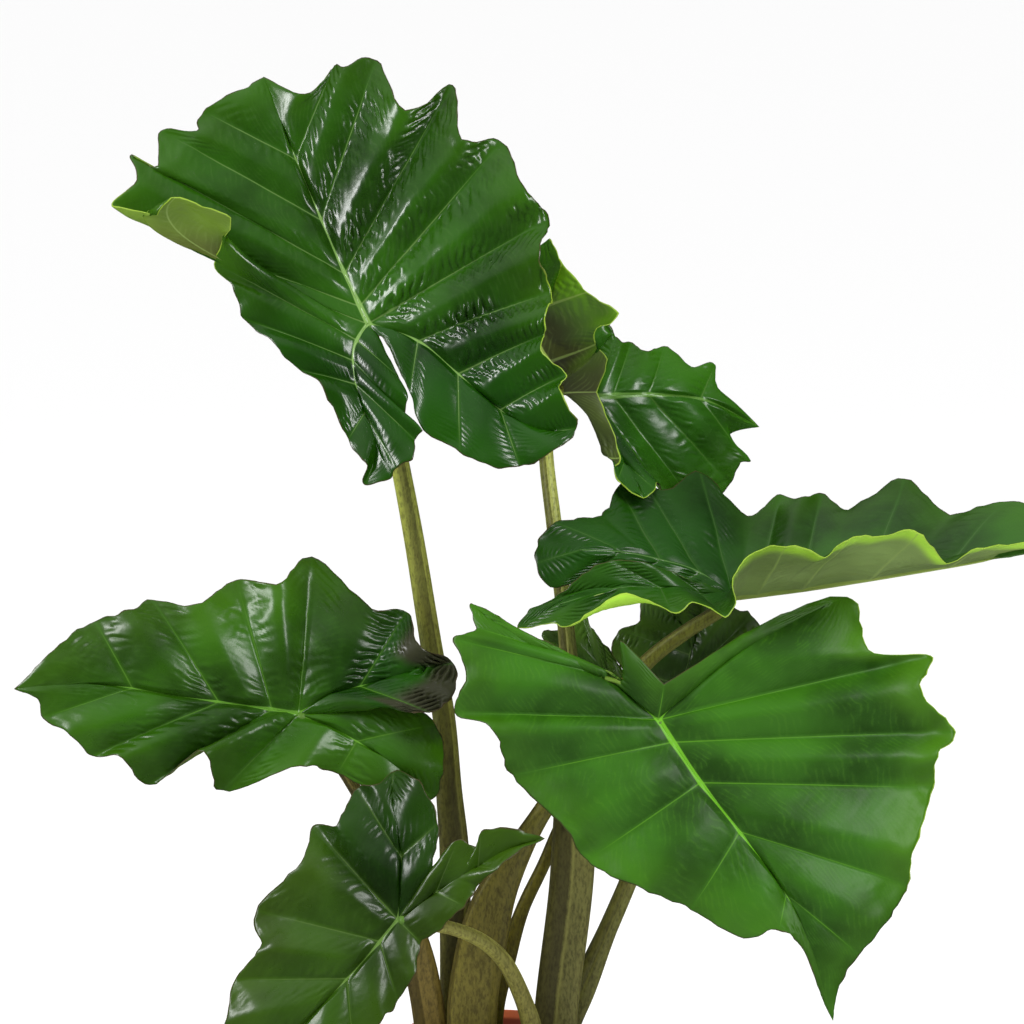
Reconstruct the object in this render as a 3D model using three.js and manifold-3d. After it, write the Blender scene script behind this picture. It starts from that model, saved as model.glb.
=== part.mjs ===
// A potted alocasia: seven waved, arrow-shaped leaves on long sheathed stalks, in a plastic grower's pot.
// Millimetres, +Z up. The origin is the centre of the pot's underside, and -Y is the front.

import * as THREE from "three";
import { mergeVertices } from "three/addons/utils/BufferGeometryUtils.js";
import Module from "manifold-3d";

const wasm = await Module();
wasm.setup();

// The pot and its filling
const POT = {
  height: 190,
  topRadius: 101,
  footRadius: 74,
  wall: 2.2,
  rimHeight: 22,
  rimStep: 3,
  lip: 2.2,
  floor: 3,
  sides: 36,
};
const DRAIN = { count: 8, radius: 6, ring: 54, sides: 10 };
const SOIL = { belowRim: 24, mound: 5, lump: 1.6, rings: 6, sides: 24 };
const HOLE_GAP = 0.3;
const JOINT_GAP = 0.4;

// The plant as it is drawn: u runs right and v runs down in millimetres, square to the line of sight from
// the eye to the plant's middle. A point stands where its own line of sight meets the upright plane at its
// depth, which is measured back from the pot's axis.
const EYE = new THREE.Vector3(17, -3500, 1331);
const LOOK_DOWN = THREE.MathUtils.degToRad(9.6);
const DRAWN_MIDDLE = [512, 512];

// The blades
const BLADE_THICKNESS = 1.2;
const RIB_DEPTH = 5;
const RIB_STEEPNESS = 0.35;
const RIB_REACH = 0.09;
const ROOT_POWER = 1.5;
const KNEE = 0.5;
const PUFF = 0.09;
const PUFF_ROOM = 60;
const NOTCH_SHARPNESS = 0.3;
const COLUMNS_A_KNOT = 2;
const ACROSS = [0, RIB_REACH, 0.38, 0.72, 1];

// Each leaf: its hub is [u, v, depth], and every other point is [u, v, lift] with the lift towards the eye,
// off the leaf's own plane, which leans by millimetres of depth a millimetre. left and right are the sides
// as the upper face shows them with the tip up. A margin has a notch and a vein's tip in turn: outer runs
// from the leaf's tip back to the hub's own vein, lobe goes round the basal lobe to its end, and inner
// comes back to the sinus. Where a margin rolls over, its fourth to sixth values are the bend in the blade
// on the way there. drip is how drawn out the tip is.
const LEAVES = [
  {
    name: "leaf_1",
    hub: [368, 324, -45],
    lean: [-0.05, -0.35],
    arch: 5,
    drip: 0,
    midrib: [[345, 275, -2], [318, 212, -4], [293, 152, -2], [264, 77, 0]],
    sinus: [377, 334, 2],
    left: {
      rib: [[355, 345, 4], [354, 372, 5], [362, 404, 5], [382, 446, 4]],
      outer: [
        [243, 88, 10], [203, 112, 14], [196, 131, 24], [160, 131, 26], [158, 167, 38], [130, 155, 38],
        [137, 182, 46], [112, 207, 52, 200, 247, 26], [158, 212, 92, 172, 243, 46],
        [175, 198, 98, 200, 248, 44],
      ],
      lobe: [
        [229, 221, 84, 237, 254, 40], [215, 264, 30], [234, 288, 26], [244, 319, 20], [272, 341, 26],
        [300, 370, 16], [322, 388, 22], [348, 440, 14], [364, 463, 18], [365, 485, 10],
      ],
      inner: [
        [391, 479, 14], [396, 469, 18], [412, 460, 20], [416, 441, 14], [422, 430, 20], [404, 419, 10],
        [409, 401, 12], [399, 378, 8], [386, 354, 5],
      ],
    },
    right: {
      rib: [[418, 341, 5], [458, 374, 8], [500, 410, 8], [538, 436, 6]],
      outer: [
        [305, 94, 16], [333, 68, 10], [345, 66, 16], [377, 61, 12], [406, 111, 30], [452, 86, 16],
        [463, 139, 34], [503, 142, 20], [524, 188, 36], [550, 219, 22],
      ],
      lobe: [
        [539, 256, 34], [552, 292, 24], [546, 315, 32], [545, 334, 26], [542, 350, 34], [566, 374, 22],
        [560, 391, 30], [578, 428, 16],
      ],
      inner: [
        [556, 451, 20], [520, 467, 14], [490, 467, 20], [460, 452, 18], [424, 431, 16], [410, 394, 12],
        [387, 344, 7],
      ],
    },
  },
  {
    name: "leaf_2",
    hub: [594, 397, 92],
    lean: [0, 0],
    arch: 4,
    drip: 0.7,
    midrib: [[645, 395, -14], [703, 400, -36], [759, 427, -62]],
    sinus: [597, 392, 28, 564, 393, 26],
    left: {
      rib: [[559, 371, -2], [537, 340, -6], [541, 292, -8], [540, 246, -6]],
      outer: [
        [709, 383, -58], [716, 363, -64], [692, 366, -52], [664, 347, -56], [646, 353, -40],
        [631, 342, -42], [623, 342, -32], [616, 336, -34],
      ],
      lobe: [
        [611, 329, -36, 575, 352, -34], [596, 316, -36, 566, 332, -36], [574, 308, -34, 554, 316, -30],
        [553, 297, -10], [563, 262, 24], [550, 239, 2],
      ],
      inner: [
        [559, 261, 4], [588, 292, 26], [616, 313, 36], [593, 334, 48, 608, 338, 34],
        [609, 361, 40, 560, 379, 34],
      ],
    },
    right: {
      rib: [[602, 421, 6], [615, 446, 22], [628, 469, 40], [639, 487, 56]],
      outer: [
        [727, 439, -58], [750, 461, -52], [738, 461, -48], [730, 485, -44], [712, 499, -32], [696, 507, -22],
        [680, 503, -4], [667, 500, 18],
      ],
      lobe: [[662, 492, 30], [659, 485, 40], [656, 484, 48], [655, 490, 56], [650, 495, 61], [644, 498, 64]],
      inner: [
        [632, 494, 62], [618, 480, 56], [613, 468, 50], [620, 458, 46, 602, 453, 36],
        [611, 424, 38, 583, 417, 30],
      ],
    },
  },
  {
    name: "leaf_3",
    hub: [733, 598, -8],
    lean: [0, 0],
    arch: -4,
    drip: 0.5,
    midrib: [[800, 590, 16], [880, 578, 24], [960, 565, 28], [1080, 544, 34]],
    sinus: [716, 590, 8],
    left: {
      rib: [[700, 573, -4], [660, 560, 2], [620, 552, 14], [580, 550, 26]],
      outer: [
        [1056, 520, -8], [1006, 500, -46], [950, 518, -60], [905, 480, -98], [848, 508, -92],
        [822, 493, -118], [801, 499, -98], [780, 496, -112], [747, 517, -88], [700, 472, -96],
      ],
      lobe: [
        [668, 491, -66], [645, 484, -64], [632, 484, -60], [618, 485, -56], [600, 519, -30], [556, 521, 6],
        [538, 542, 16], [535, 564, 30],
      ],
      inner: [
        [549, 588, 34], [575, 584, 30], [600, 583, 26], [625, 583, 22], [650, 585, 18], [675, 587, 14],
        [698, 590, 12],
      ],
    },
    right: {
      rib: [[700, 594, 24], [660, 588, 40], [620, 588, 52], [560, 604, 62]],
      outer: [
        [1050, 548, 36], [984, 548, 78], [947, 566, 76], [919, 533, 108], [878, 539, 102], [848, 541, 118],
        [824, 559, 104], [786, 547, 118], [757, 554, 108], [736, 571, 112],
      ],
      lobe: [
        [738, 603, 106], [725, 617, 104], [692, 604, 98], [671, 612, 96], [620, 595, 88, 632, 608, 80],
        [570, 628, 78], [551, 625, 70], [518, 629, 60],
      ],
      inner: [
        [531, 608, 54], [556, 596, 54], [580, 574, 52], [612, 560, 46], [645, 562, 38], [672, 572, 30],
        [696, 582, 20],
      ],
    },
  },
  {
    name: "leaf_4",
    hub: [658, 720, -105],
    lean: [0.08, -0.3],
    arch: 9,
    drip: 0.9,
    midrib: [[700, 782, 3], [746, 840, 4], [792, 905, 0], [833, 1021, -14]],
    sinus: [664, 684, 16],
    left: {
      rib: [[692, 685, 3], [745, 646, 5], [808, 612, 1]],
      outer: [
        [843, 975, -12], [858, 954, -8], [884, 926, -2], [907, 885, -10], [913, 853, 6], [933, 788, -6],
        [936, 757, 8], [955, 732, -4], [920, 690, 14], [930, 656, 0],
      ],
      lobe: [[868, 651, 14], [848, 596, -4]],
      inner: [[754, 629, 8]],
    },
    right: {
      rib: [[605, 676, 4], [550, 652, 5], [500, 634, 2]],
      outer: [
        [803, 952, 0], [779, 930, 6], [744, 937, -2], [691, 909, -2], [642, 889, 8], [586, 861, -6],
        [566, 829, 6], [511, 776, -4], [495, 731, 16], [455, 713, 4],
      ],
      lobe: [[466, 676, 14], [454, 640, 6], [466, 634, 8], [476, 628, 6], [472, 616, 0], [473, 605, -4]],
      inner: [[520, 629, 8], [572, 654, 4], [618, 680, 4], [641, 694, 8], [621, 641, 22]],
    },
  },
  {
    name: "leaf_5",
    hub: [298, 714, -75],
    lean: [0.15, -0.35],
    arch: 7,
    drip: 0.2,
    midrib: [[245, 706, 3], [180, 697, 4], [100, 685, 0], [14, 689, -8]],
    sinus: [321, 714, 0],
    left: {
      rib: [[338, 731, 3], [375, 752, 4], [412, 775, 2]],
      outer: [
        [37, 698, -6], [43, 718, -6], [74, 738, 4], [92, 756, -4], [122, 758, 10], [150, 785, -6],
        [204, 752, 26], [222, 792, -2],
      ],
      lobe: [[300, 766, 14], [337, 774, 0], [385, 797, 8], [432, 799, -2]],
      inner: [[442, 774, 8], [436, 725, 2], [385, 698, -6]],
    },
    right: {
      rib: [[335, 694, 5], [385, 680, 8], [425, 668, 8]],
      outer: [
        [48, 654, 4], [94, 620, -6], [126, 613, 6], [152, 600, -4], [196, 606, 10], [236, 580, -4],
        [276, 585, 16], [312, 557, -6],
      ],
      lobe: [[372, 609, 10], [407, 611, 0], [419, 645, 20], [454, 663, 14]],
      inner: [[453, 694, 28], [430, 713, 34], [380, 706, 22]],
    },
  },
  {
    name: "leaf_6",
    hub: [398, 920, -165],
    lean: [-0.05, -0.35],
    arch: 6,
    drip: 0.5,
    midrib: [[362, 963, 2], [326, 1001, 2], [280, 1052, -2], [232, 1124, -14]],
    sinus: [426, 878, 3],
    left: {
      rib: [[436, 892, 3], [478, 867, 6], [515, 848, 4]],
      outer: [
        [262, 1104, -4], [296, 1096, -8], [324, 1074, 4], [354, 1052, -4], [380, 1022, 6], [398, 1001, -2],
        [413, 977, 6], [422, 944, 2],
      ],
      lobe: [[443, 928, 8], [464, 906, 10], [479, 884, 6], [497, 869, 24], [522, 851, 14], [546, 838, 10]],
      inner: [[500, 828, 14], [481, 832, 18], [479, 848, 12], [458, 840, 18], [437, 862, 10]],
    },
    right: {
      rib: [[402, 878, 3], [399, 838, 4], [390, 800, 2]],
      outer: [
        [219, 1088, -6], [219, 1050, -10], [227, 1018, 4], [236, 980, -6], [260, 947, 8], [257, 911, -6],
        [301, 862, 8], [314, 827, -6],
      ],
      lobe: [[336, 825, 8], [357, 788, -4], [376, 785, 4], [394, 772, -6]],
      inner: [[420, 782, 8], [438, 824, 10], [433, 862, 12]],
    },
  },
  {
    name: "leaf_7",
    hub: [655, 722, 84],
    lean: [0.1, -0.2],
    arch: 5,
    drip: 0.4,
    midrib: [[680, 760, 0], [705, 800, 0], [742, 852, -6]],
    sinus: [650, 706, 2],
    left: {
      rib: [[680, 685, 4], [690, 655, 6], [690, 625, 6]],
      outer: [[768, 842, 0], [800, 806, -8], [805, 770, 6], [815, 728, -6], [798, 690, 8], [782, 655, -6]],
      lobe: [[768, 640, 8], [752, 615, -6], [730, 606, 8], [705, 598, -6], [680, 600, 6], [644, 597, -4]],
      inner: [[640, 622, 8], [620, 630, 10], [612, 648, 8], [622, 668, 6], [636, 688, 4]],
    },
    right: {
      rib: [[630, 700, 3], [610, 680, 4], [592, 655, 4]],
      outer: [[728, 846, 0], [700, 822, -8], [664, 800, 6], [628, 776, -6], [604, 748, 8], [588, 718, -6]],
      lobe: [[576, 700, 8], [562, 680, -4], [556, 660, 4], [542, 634, -4], [560, 628, 6], [581, 611, -2]],
      inner: [[592, 628, 8], [602, 642, 6], [612, 658, 4], [626, 676, 4], [638, 692, 4]],
    },
  },
];

// The stalks: way is [u, v, depth] from below the soil up to the leaf's hub. foot and top are the width
// across and the thickness. The clasping foot keeps its size up to the first share of sheath and has
// tapered in by the second.
const STALKS = [
  {
    name: "stalk_1",
    leaf: "leaf_1",
    way: [
      [463, 1112, 24], [456, 1020, 22], [455, 935, 18], [454, 850, 16], [449, 793, 13], [444, 720, 11],
      [431, 645, 8], [414, 540, 4], [400, 465, 1], [385, 392, -8], [373, 348, -26],
    ],
    foot: [31, 26],
    top: [16, 16],
    sheath: [0.26, 0.5],
  },
  {
    name: "stalk_2",
    leaf: "leaf_2",
    way: [
      [550, 1112, -5], [556, 1010, -4], [572, 870, 2], [573, 760, 14], [567, 640, 20], [554, 525, 38],
      [546, 455, 62], [546, 416, 88], [555, 391, 106], [578, 389, 110],
    ],
    foot: [44, 32],
    top: [13, 13],
    sheath: [0.32, 0.62],
  },
  {
    name: "stalk_3",
    leaf: "leaf_3",
    way: [
      [482, 1112, -24], [472, 1020, -24], [479, 960, -24], [494, 900, -22], [523, 843, -20],
      [572, 766, -16], [612, 704, 0], [650, 659, 8], [690, 629, 4], [720, 610, -2],
    ],
    foot: [51, 30],
    top: [14, 14],
    sheath: [0.26, 0.54],
  },
  {
    name: "stalk_4",
    leaf: "leaf_4",
    way: [
      [544, 1112, 28], [561, 1040, 31], [584, 985, 36], [602, 942, 34], [627, 884, 25], [650, 825, 4],
      [663, 780, -34], [664, 745, -74], [660, 729, -96],
    ],
    foot: [27, 22],
    top: [13, 13],
    sheath: [0.24, 0.42],
  },
  {
    name: "stalk_5",
    leaf: "leaf_5",
    way: [
      [442, 1112, -4], [431, 1030, -7], [425, 990, -10], [410, 920, -22], [382, 840, -38], [349, 779, -50],
      [326, 747, -62], [307, 724, -71],
    ],
    foot: [33, 24],
    top: [11, 11],
    sheath: [0.3, 0.55],
  },
  {
    name: "stalk_6",
    leaf: "leaf_6",
    way: [
      [537, 1112, -50], [532, 1030, -60], [520, 992, -74], [503, 960, -94], [480, 940, -118],
      [450, 928, -142], [420, 924, -158],
    ],
    foot: [21, 17],
    top: [11.5, 11.5],
    sheath: [0.2, 0.4],
  },
  {
    name: "stalk_7",
    leaf: "leaf_7",
    way: [
      [499, 1112, 36], [494, 1015, 36], [508, 955, 38], [523, 908, 42], [543, 866, 48], [566, 815, 58],
      [602, 765, 72], [641, 733, 82],
    ],
    foot: [20, 18],
    top: [10, 10],
    sheath: [0.3, 0.5],
  },
];
const STALK_SIDES = 10;
const STALK_STEPS = 15;
const STALK_TAPER = 0.8;
const SEAT_SEARCH = 40;
const SEAT_SAMPLES = 8;
const CHANNEL_DEPTH = 0.34;
const CHANNEL_WIDTH = 0.75;

function dull(name, color, roughness) {
  return new THREE.MeshStandardMaterial({ name, color, roughness, metalness: 0 });
}
const GREEN = dull("leaf", 0x1d5216, 0.3);
const OLIVE = dull("stalk", 0x5d5a2c, 0.55);
const TERRACOTTA = dull("pot", 0xb5482a, 0.5);
const PEAT = dull("soil", 0x2c2019, 0.95);

// Where a drawn point stands at a depth.
function seen(u, v, depth) {
  const sight = new THREE.Vector3(u - DRAWN_MIDDLE[0], -EYE.y / Math.cos(LOOK_DOWN), DRAWN_MIDDLE[1] - v);
  sight.applyAxisAngle(new THREE.Vector3(1, 0, 0), -LOOK_DOWN);
  return sight.multiplyScalar((depth - EYE.y) / sight.y).add(EYE);
}

function curveThrough(points) {
  return new THREE.CatmullRomCurve3(points, false, "centripetal");
}

// The point of a leaf given as [u, v, lift]: the leaf's plane leans by millimetres of depth a millimetre.
function leafPoint(leaf, [u, v, lift]) {
  const [hubU, hubV, hubDepth] = leaf.hub;
  return seen(u, v, hubDepth + leaf.lean[0] * (u - hubU) + leaf.lean[1] * (v - hubV) - lift);
}

// A margin through its knots: it runs round the veins' tips and turns more sharply in the notches. It
// leaves the leaf's tip along the given direction.
function marginPoint(knots, tipSlope, t) {
  const last = knots.length - 1;
  const i = Math.min(Math.floor(t), last - 1);
  const slope = (k) => {
    if (k === 0) return tipSlope.clone();
    if (k === last) return knots[last].clone().sub(knots[last - 1]);
    return knots[k + 1].clone().sub(knots[k - 1]).multiplyScalar(0.5);
  };
  const blend = (k, into) => {
    if (k % 2 === 0 || k === last) return slope(k);
    const near = into ? knots[k].clone().sub(knots[k - 1]) : knots[k + 1].clone().sub(knots[k]);
    return slope(k).lerp(near, NOTCH_SHARPNESS);
  };
  const f = t - i;
  const f2 = f * f;
  const f3 = f2 * f;
  return new THREE.Vector3()
    .addScaledVector(knots[i], 2 * f3 - 3 * f2 + 1)
    .addScaledVector(blend(i, false), f3 - 2 * f2 + f)
    .addScaledVector(knots[i + 1], -2 * f3 + 3 * f2)
    .addScaledVector(blend(i + 1, true), f3 - f2);
}

// One side of a leaf as columns of points from the midrib or rib out to the margin, from the tip back to
// the sinus.
function sideColumns(leaf, side, hand) {
  const hub = seen(...leaf.hub);
  const midrib = curveThrough([hub, ...leaf.midrib.map((p) => leafPoint(leaf, p))]);
  const rib = curveThrough([hub, ...side.rib.map((p) => leafPoint(leaf, p))]);
  const entries = [leaf.midrib.at(-1), ...side.outer, ...side.lobe, ...side.inner, leaf.sinus];
  const knots = entries.map((p) => leafPoint(leaf, p.slice(0, 3)));
  const outer = side.outer.length;
  const lobe = side.lobe.length;
  const spine = (t) => {
    if (t <= outer) return midrib.getPoint((1 - t / outer) ** ROOT_POWER);
    return rib.getPoint(Math.min(1, (t <= outer + lobe ? t - outer : outer + 2 * lobe - t) / lobe));
  };
  const kneeOf = (k) => {
    const entry = entries[k];
    if (entry.length > 3) return leafPoint(leaf, entry.slice(3));
    return spine(k).lerp(knots[k], KNEE);
  };
  const knees = entries.map((_, k) => kneeOf(k));
  const chord = knots[1].clone().sub(knots[0]);
  const tipSlope = midrib.getTangent(1).multiplyScalar(-chord.length()).lerp(chord, 1 - leaf.drip);
  const face = new THREE.Vector3(leaf.lean[0], -1, -leaf.lean[1]).normalize();
  const steps = (knots.length - 1) * COLUMNS_A_KNOT;
  const columns = [];
  for (let c = 0; c <= steps; c++) {
    const t = c / COLUMNS_A_KNOT;
    const from = spine(t);
    const to = marginPoint(knots, tipSlope, t);
    const i = Math.min(Math.floor(t), knots.length - 2);
    const knee = knees[i].clone().lerp(knees[i + 1], t - i);
    const bend = knee.sub(from.clone().lerp(to, KNEE)).addScaledVector(face, archAt(leaf, from, to));
    columns.push(ACROSS.map((s) => from.clone().lerp(to, s).addScaledVector(bend, 4 * s * (1 - s))));
  }
  puffBetweenVeins(columns, hand);
  return columns;
}

// The blade swells between its midrib and its margin by its arch, and less on a short way.
function archAt(leaf, from, to) {
  return leaf.arch * Math.min(1, from.distanceTo(to) / 120);
}

// Raises the upper face between the veins, which stand at every second knot.
function puffBetweenVeins(columns, hand) {
  const pitch = 2 * COLUMNS_A_KNOT;
  const flat = columns.map((column) => column.map((p) => p.clone()));
  const last = flat.length - 1;
  for (let c = 1; c < last; c++) {
    const phase = (c % pitch) / pitch;
    const before = flat[c - (c % pitch)];
    const after = flat[Math.min(last, c - (c % pitch) + pitch)];
    for (let r = 1; r < ACROSS.length; r++) {
      const across = flat[c][r].clone().sub(flat[c][r - 1]);
      const along = flat[c + 1][r].clone().sub(flat[c - 1][r]);
      const up = across.cross(along).multiplyScalar(hand).normalize();
      const room = Math.min(PUFF_ROOM, before[r].distanceTo(after[r]));
      const height = room * PUFF * (1 - 0.5 * ACROSS[r] ** 2);
      columns[c][r].addScaledVector(up, height * 4 * phase * (1 - phase));
    }
  }
}

// A sheet of points and triangles: corners at the same place become one, and triangles that vanish are
// dropped. ribs holds how far the rib under each corner may stand out, which is less where there is little
// blade beside it.
function weld(sheets) {
  const places = new Map();
  const sheet = { points: [], ribs: [], triangles: [] };
  const cornerOf = (p, rib) => {
    const key = [p.x, p.y, p.z].map((x) => Math.round(x * 50)).join();
    if (!places.has(key)) {
      places.set(key, sheet.points.length);
      sheet.points.push(p);
      sheet.ribs.push(rib);
    }
    const id = places.get(key);
    sheet.ribs[id] = Math.min(sheet.ribs[id], rib);
    return id;
  };
  for (const { columns, hand } of sheets) {
    const ribOf = (column) => Math.min(RIB_DEPTH, RIB_STEEPNESS * column[0].distanceTo(column[1]));
    const ids = columns.map((column) => column.map((p, r) => cornerOf(p, r === 0 ? ribOf(column) : 0)));
    for (let c = 0; c + 1 < ids.length; c++)
      for (let r = 0; r + 1 < ids[c].length; r++) {
        const [a, b, d, e] = [ids[c][r], ids[c][r + 1], ids[c + 1][r + 1], ids[c + 1][r]];
        for (const corners of [[a, b, d], [a, d, e]]) {
          if (new Set(corners).size < 3) continue;
          sheet.triangles.push(hand > 0 ? corners : corners.reverse());
        }
      }
  }
  return sheet;
}

// The closed solid of a sheet, thickened to both sides, with a rib under its spine.
function thicken(sheet, thickness) {
  const normals = sheet.points.map(() => new THREE.Vector3());
  const edges = new Map();
  for (const [a, b, c] of sheet.triangles) {
    const [pa, pb, pc] = [a, b, c].map((i) => sheet.points[i]);
    const facing = pb.clone().sub(pa).cross(pc.clone().sub(pa));
    for (const i of [a, b, c]) normals[i].add(facing);
    for (const [from, to] of [[a, b], [b, c], [c, a]]) edges.set(from + "," + to, [from, to]);
  }
  const count = sheet.points.length;
  const position = new Float32Array(count * 6);
  sheet.points.forEach((p, i) => {
    const up = normals[i].normalize();
    p.clone().addScaledVector(up, thickness / 2).toArray(position, i * 3);
    p.clone().addScaledVector(up, -thickness / 2 - sheet.ribs[i]).toArray(position, (count + i) * 3);
  });
  const index = [];
  for (const [a, b, c] of sheet.triangles) index.push(a, b, c, count + a, count + c, count + b);
  for (const [from, to] of edges.values())
    if (!edges.has(to + "," + from)) index.push(from, count + from, to, to, count + from, count + to);
  const closed = new THREE.BufferGeometry();
  return closed.setAttribute("position", new THREE.BufferAttribute(position, 3)).setIndex(index);
}

function bladeSheet(leaf) {
  return weld([
    { columns: sideColumns(leaf, leaf.left, 1), hand: 1 },
    { columns: sideColumns(leaf, leaf.right, -1), hand: -1 },
  ]);
}

// A stalk's section at a share of its length: a broad clasping foot that narrows to a round top, with a
// channel on the side that the sheath opens to, and a sheath edge that steps in where it ends.
function stalkRing(stalk, curve, share) {
  const centre = curve.getPointAt(share);
  const along = curve.getTangentAt(share);
  const side = new THREE.Vector3(0, -1, 0).cross(along).normalize();
  const front = along.clone().cross(side).normalize();
  const ease = THREE.MathUtils.smoothstep(share, ...stalk.sheath);
  const bare = 1 + STALK_TAPER * (1 - share);
  const slim = [0, 1].map((k) => THREE.MathUtils.lerp(stalk.foot[k], stalk.top[k] * bare, ease));
  const channel = CHANNEL_DEPTH * (1 - ease);
  const points = [];
  for (let k = 0; k < STALK_SIDES; k++) {
    const angle = (k / STALK_SIDES) * 2 * Math.PI;
    const dent = 1 - channel * Math.exp(-(((angle - Math.PI / 2) / CHANNEL_WIDTH) ** 2));
    const across = (Math.cos(angle) * slim[0]) / 2;
    const deep = (-Math.sin(angle) * dent * slim[1]) / 2;
    points.push(centre.clone().addScaledVector(side, across).addScaledVector(front, -deep));
  }
  return points;
}

// A closed skin over rings of points, with a flat end at each end.
function skin(rings) {
  const sides = rings[0].length;
  const points = rings.flat();
  const middle = (ring) => ring.reduce((sum, p) => sum.add(p), new THREE.Vector3()).divideScalar(sides);
  points.push(middle(rings[0]), middle(rings.at(-1)));
  const index = [];
  const end = (rings.length - 1) * sides;
  for (let k = 0; k < sides; k++) {
    const next = (k + 1) % sides;
    for (let r = 0; r + 1 < rings.length; r++) {
      const [a, b] = [r * sides + k, r * sides + next];
      index.push(a, b, b + sides, a, b + sides, a + sides);
    }
    index.push(points.length - 2, next, k, points.length - 1, end + k, end + next);
  }
  return new THREE.BufferGeometry().setFromPoints(points).setIndex(index);
}

// The stalk's solid. Its top is cut off at its seat, just under the blade, and deeper lengthens its foot.
function stalkGeometry(stalk, leaf, seat, deeper = 0) {
  const curve = stalkCurve(stalk, leaf);
  const rings = [];
  for (let r = 0; r <= STALK_STEPS; r++) rings.push(stalkRing(stalk, curve, r / STALK_STEPS));
  const up = curve.getTangentAt(1);
  for (const p of rings.at(-1)) p.addScaledVector(up, -seat.distanceToPoint(p) / up.dot(seat.normal));
  for (const p of rings[0]) p.addScaledVector(curve.getTangentAt(0), -deeper);
  return skin(rings);
}

function stalkCurve(stalk, leaf) {
  return curveThrough([...stalk.way.map((p) => seen(...p)), seen(...leaf.hub)]);
}

// The plane in which a stalk ends: halfway between square to the stalk and along the blade at its hub, and
// a gap under the lowest of the blade that lies over the stalk's section.
function stalkSeat(stalk, leaf, blade) {
  const hub = seen(...leaf.hub);
  const up = stalkCurve(stalk, leaf).getTangentAt(1);
  const corner = blade.attributes.position;
  const triangles = [];
  for (let i = 0; i < blade.index.count; i += 3) {
    const at = [0, 1, 2].map((k) => blade.index.getX(i + k));
    const triangle = at.map((k) => new THREE.Vector3().fromBufferAttribute(corner, k));
    if (triangle.some((p) => p.distanceTo(hub) < SEAT_SEARCH)) triangles.push(triangle);
  }
  const facing = new THREE.Vector3(leaf.lean[0], -1, -leaf.lean[1]).normalize();
  const seat = new THREE.Plane().setFromNormalAndCoplanarPoint(up.clone().add(facing).normalize(), hub);
  const reach = stalk.top[0] / 2 + JOINT_GAP;
  let lowest = 0;
  for (const [a, b, c] of triangles)
    for (let i = 0; i <= SEAT_SAMPLES; i++)
      for (let j = 0; i + j <= SEAT_SAMPLES; j++) {
        const p = a.clone().lerp(b, i / SEAT_SAMPLES).addScaledVector(c.clone().sub(a), j / SEAT_SAMPLES);
        const away = p.clone().sub(hub).cross(up).length();
        if (away >= reach || p.distanceTo(hub) >= SEAT_SEARCH) continue;
        lowest = Math.min(lowest, seat.distanceToPoint(p));
      }
  seat.constant += JOINT_GAP - lowest;
  return seat;
}

// The pot: a flared wall with a stepped rim band and a rolled lip, and a flat floor.
function potGeometry() {
  const { height, topRadius, footRadius, wall, rimHeight, rimStep, lip, floor, sides } = POT;
  const bandRadius = topRadius - rimStep;
  const band = height - rimHeight;
  const chamfer = 3;
  const profile = [
    [0, 0], [footRadius - chamfer, 0], [footRadius, chamfer], [bandRadius, band], [topRadius - 1, band + 2],
    [topRadius + lip - 1, height - 5], [topRadius + lip, height - 2.5], [topRadius + lip - 1.5, height],
    [topRadius - wall, height - 0.6], [bandRadius - wall - 0.6, band - 1],
    [footRadius - wall, chamfer + floor], [footRadius - wall - 3, floor], [0, floor],
  ];
  return lathe(profile, sides);
}

function lathe(profile, sides) {
  const turned = new THREE.LatheGeometry(profile.map(([x, y]) => new THREE.Vector2(x, y)), sides);
  return turned.rotateX(Math.PI / 2);
}

// The inner radius of the pot's wall at a height.
function potInside(z) {
  const low = POT.floor + 3;
  const high = POT.height - POT.rimHeight - 1;
  const [from, to] = [POT.footRadius - POT.wall, POT.topRadius - POT.rimStep - POT.wall - 0.6];
  return from + ((to - from) * (z - low)) / (high - low);
}

// The soil: a plug with a mounded, lumpy top.
function soilGeometry() {
  const top = POT.height - SOIL.belowRim;
  const bottom = POT.floor + HOLE_GAP;
  const low = POT.floor + 3;
  const clear = HOLE_GAP + potInside(top) * (1 - Math.cos(Math.PI / POT.sides));
  const ringAt = (radius, height) => {
    const ring = [];
    for (let k = 0; k < SOIL.sides; k++) {
      const angle = (k / SOIL.sides) * 2 * Math.PI;
      ring.push(new THREE.Vector3(radius * Math.cos(angle), radius * Math.sin(angle), height(angle)));
    }
    return ring;
  };
  const rings = [
    ringAt(potInside(low) - clear - 3, () => bottom),
    ringAt(potInside(low) - clear, () => low),
    ringAt(potInside(top) - clear, () => top),
  ];
  for (let r = 1; r < SOIL.rings; r++) {
    const share = 1 - r / SOIL.rings;
    const radius = (potInside(top) - clear) * share;
    rings.push(ringAt(radius, (angle) => soilHeight(radius, angle, top)));
  }
  return skin(rings);
}

function soilHeight(radius, angle, top) {
  const share = radius / potInside(top);
  const lumps = Math.sin(3 * angle + radius * 0.11) + Math.cos(5 * angle - radius * 0.07);
  const lumpy = Math.min(1, 4 * (1 - share)) * Math.min(1, 3 * share);
  return top + SOIL.mound * (1 - share * share) + SOIL.lump * lumps * lumpy;
}

// Solids for cutting
function solid(geometry) {
  const bare = geometry.clone();
  bare.deleteAttribute("normal");
  bare.deleteAttribute("uv");
  const merged = mergeVertices(bare, 1e-3);
  const mesh = new wasm.Mesh({
    numProp: 3,
    vertProperties: merged.attributes.position.array,
    triVerts: new Uint32Array(merged.index.array),
  });
  return new wasm.Manifold(mesh);
}

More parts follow.
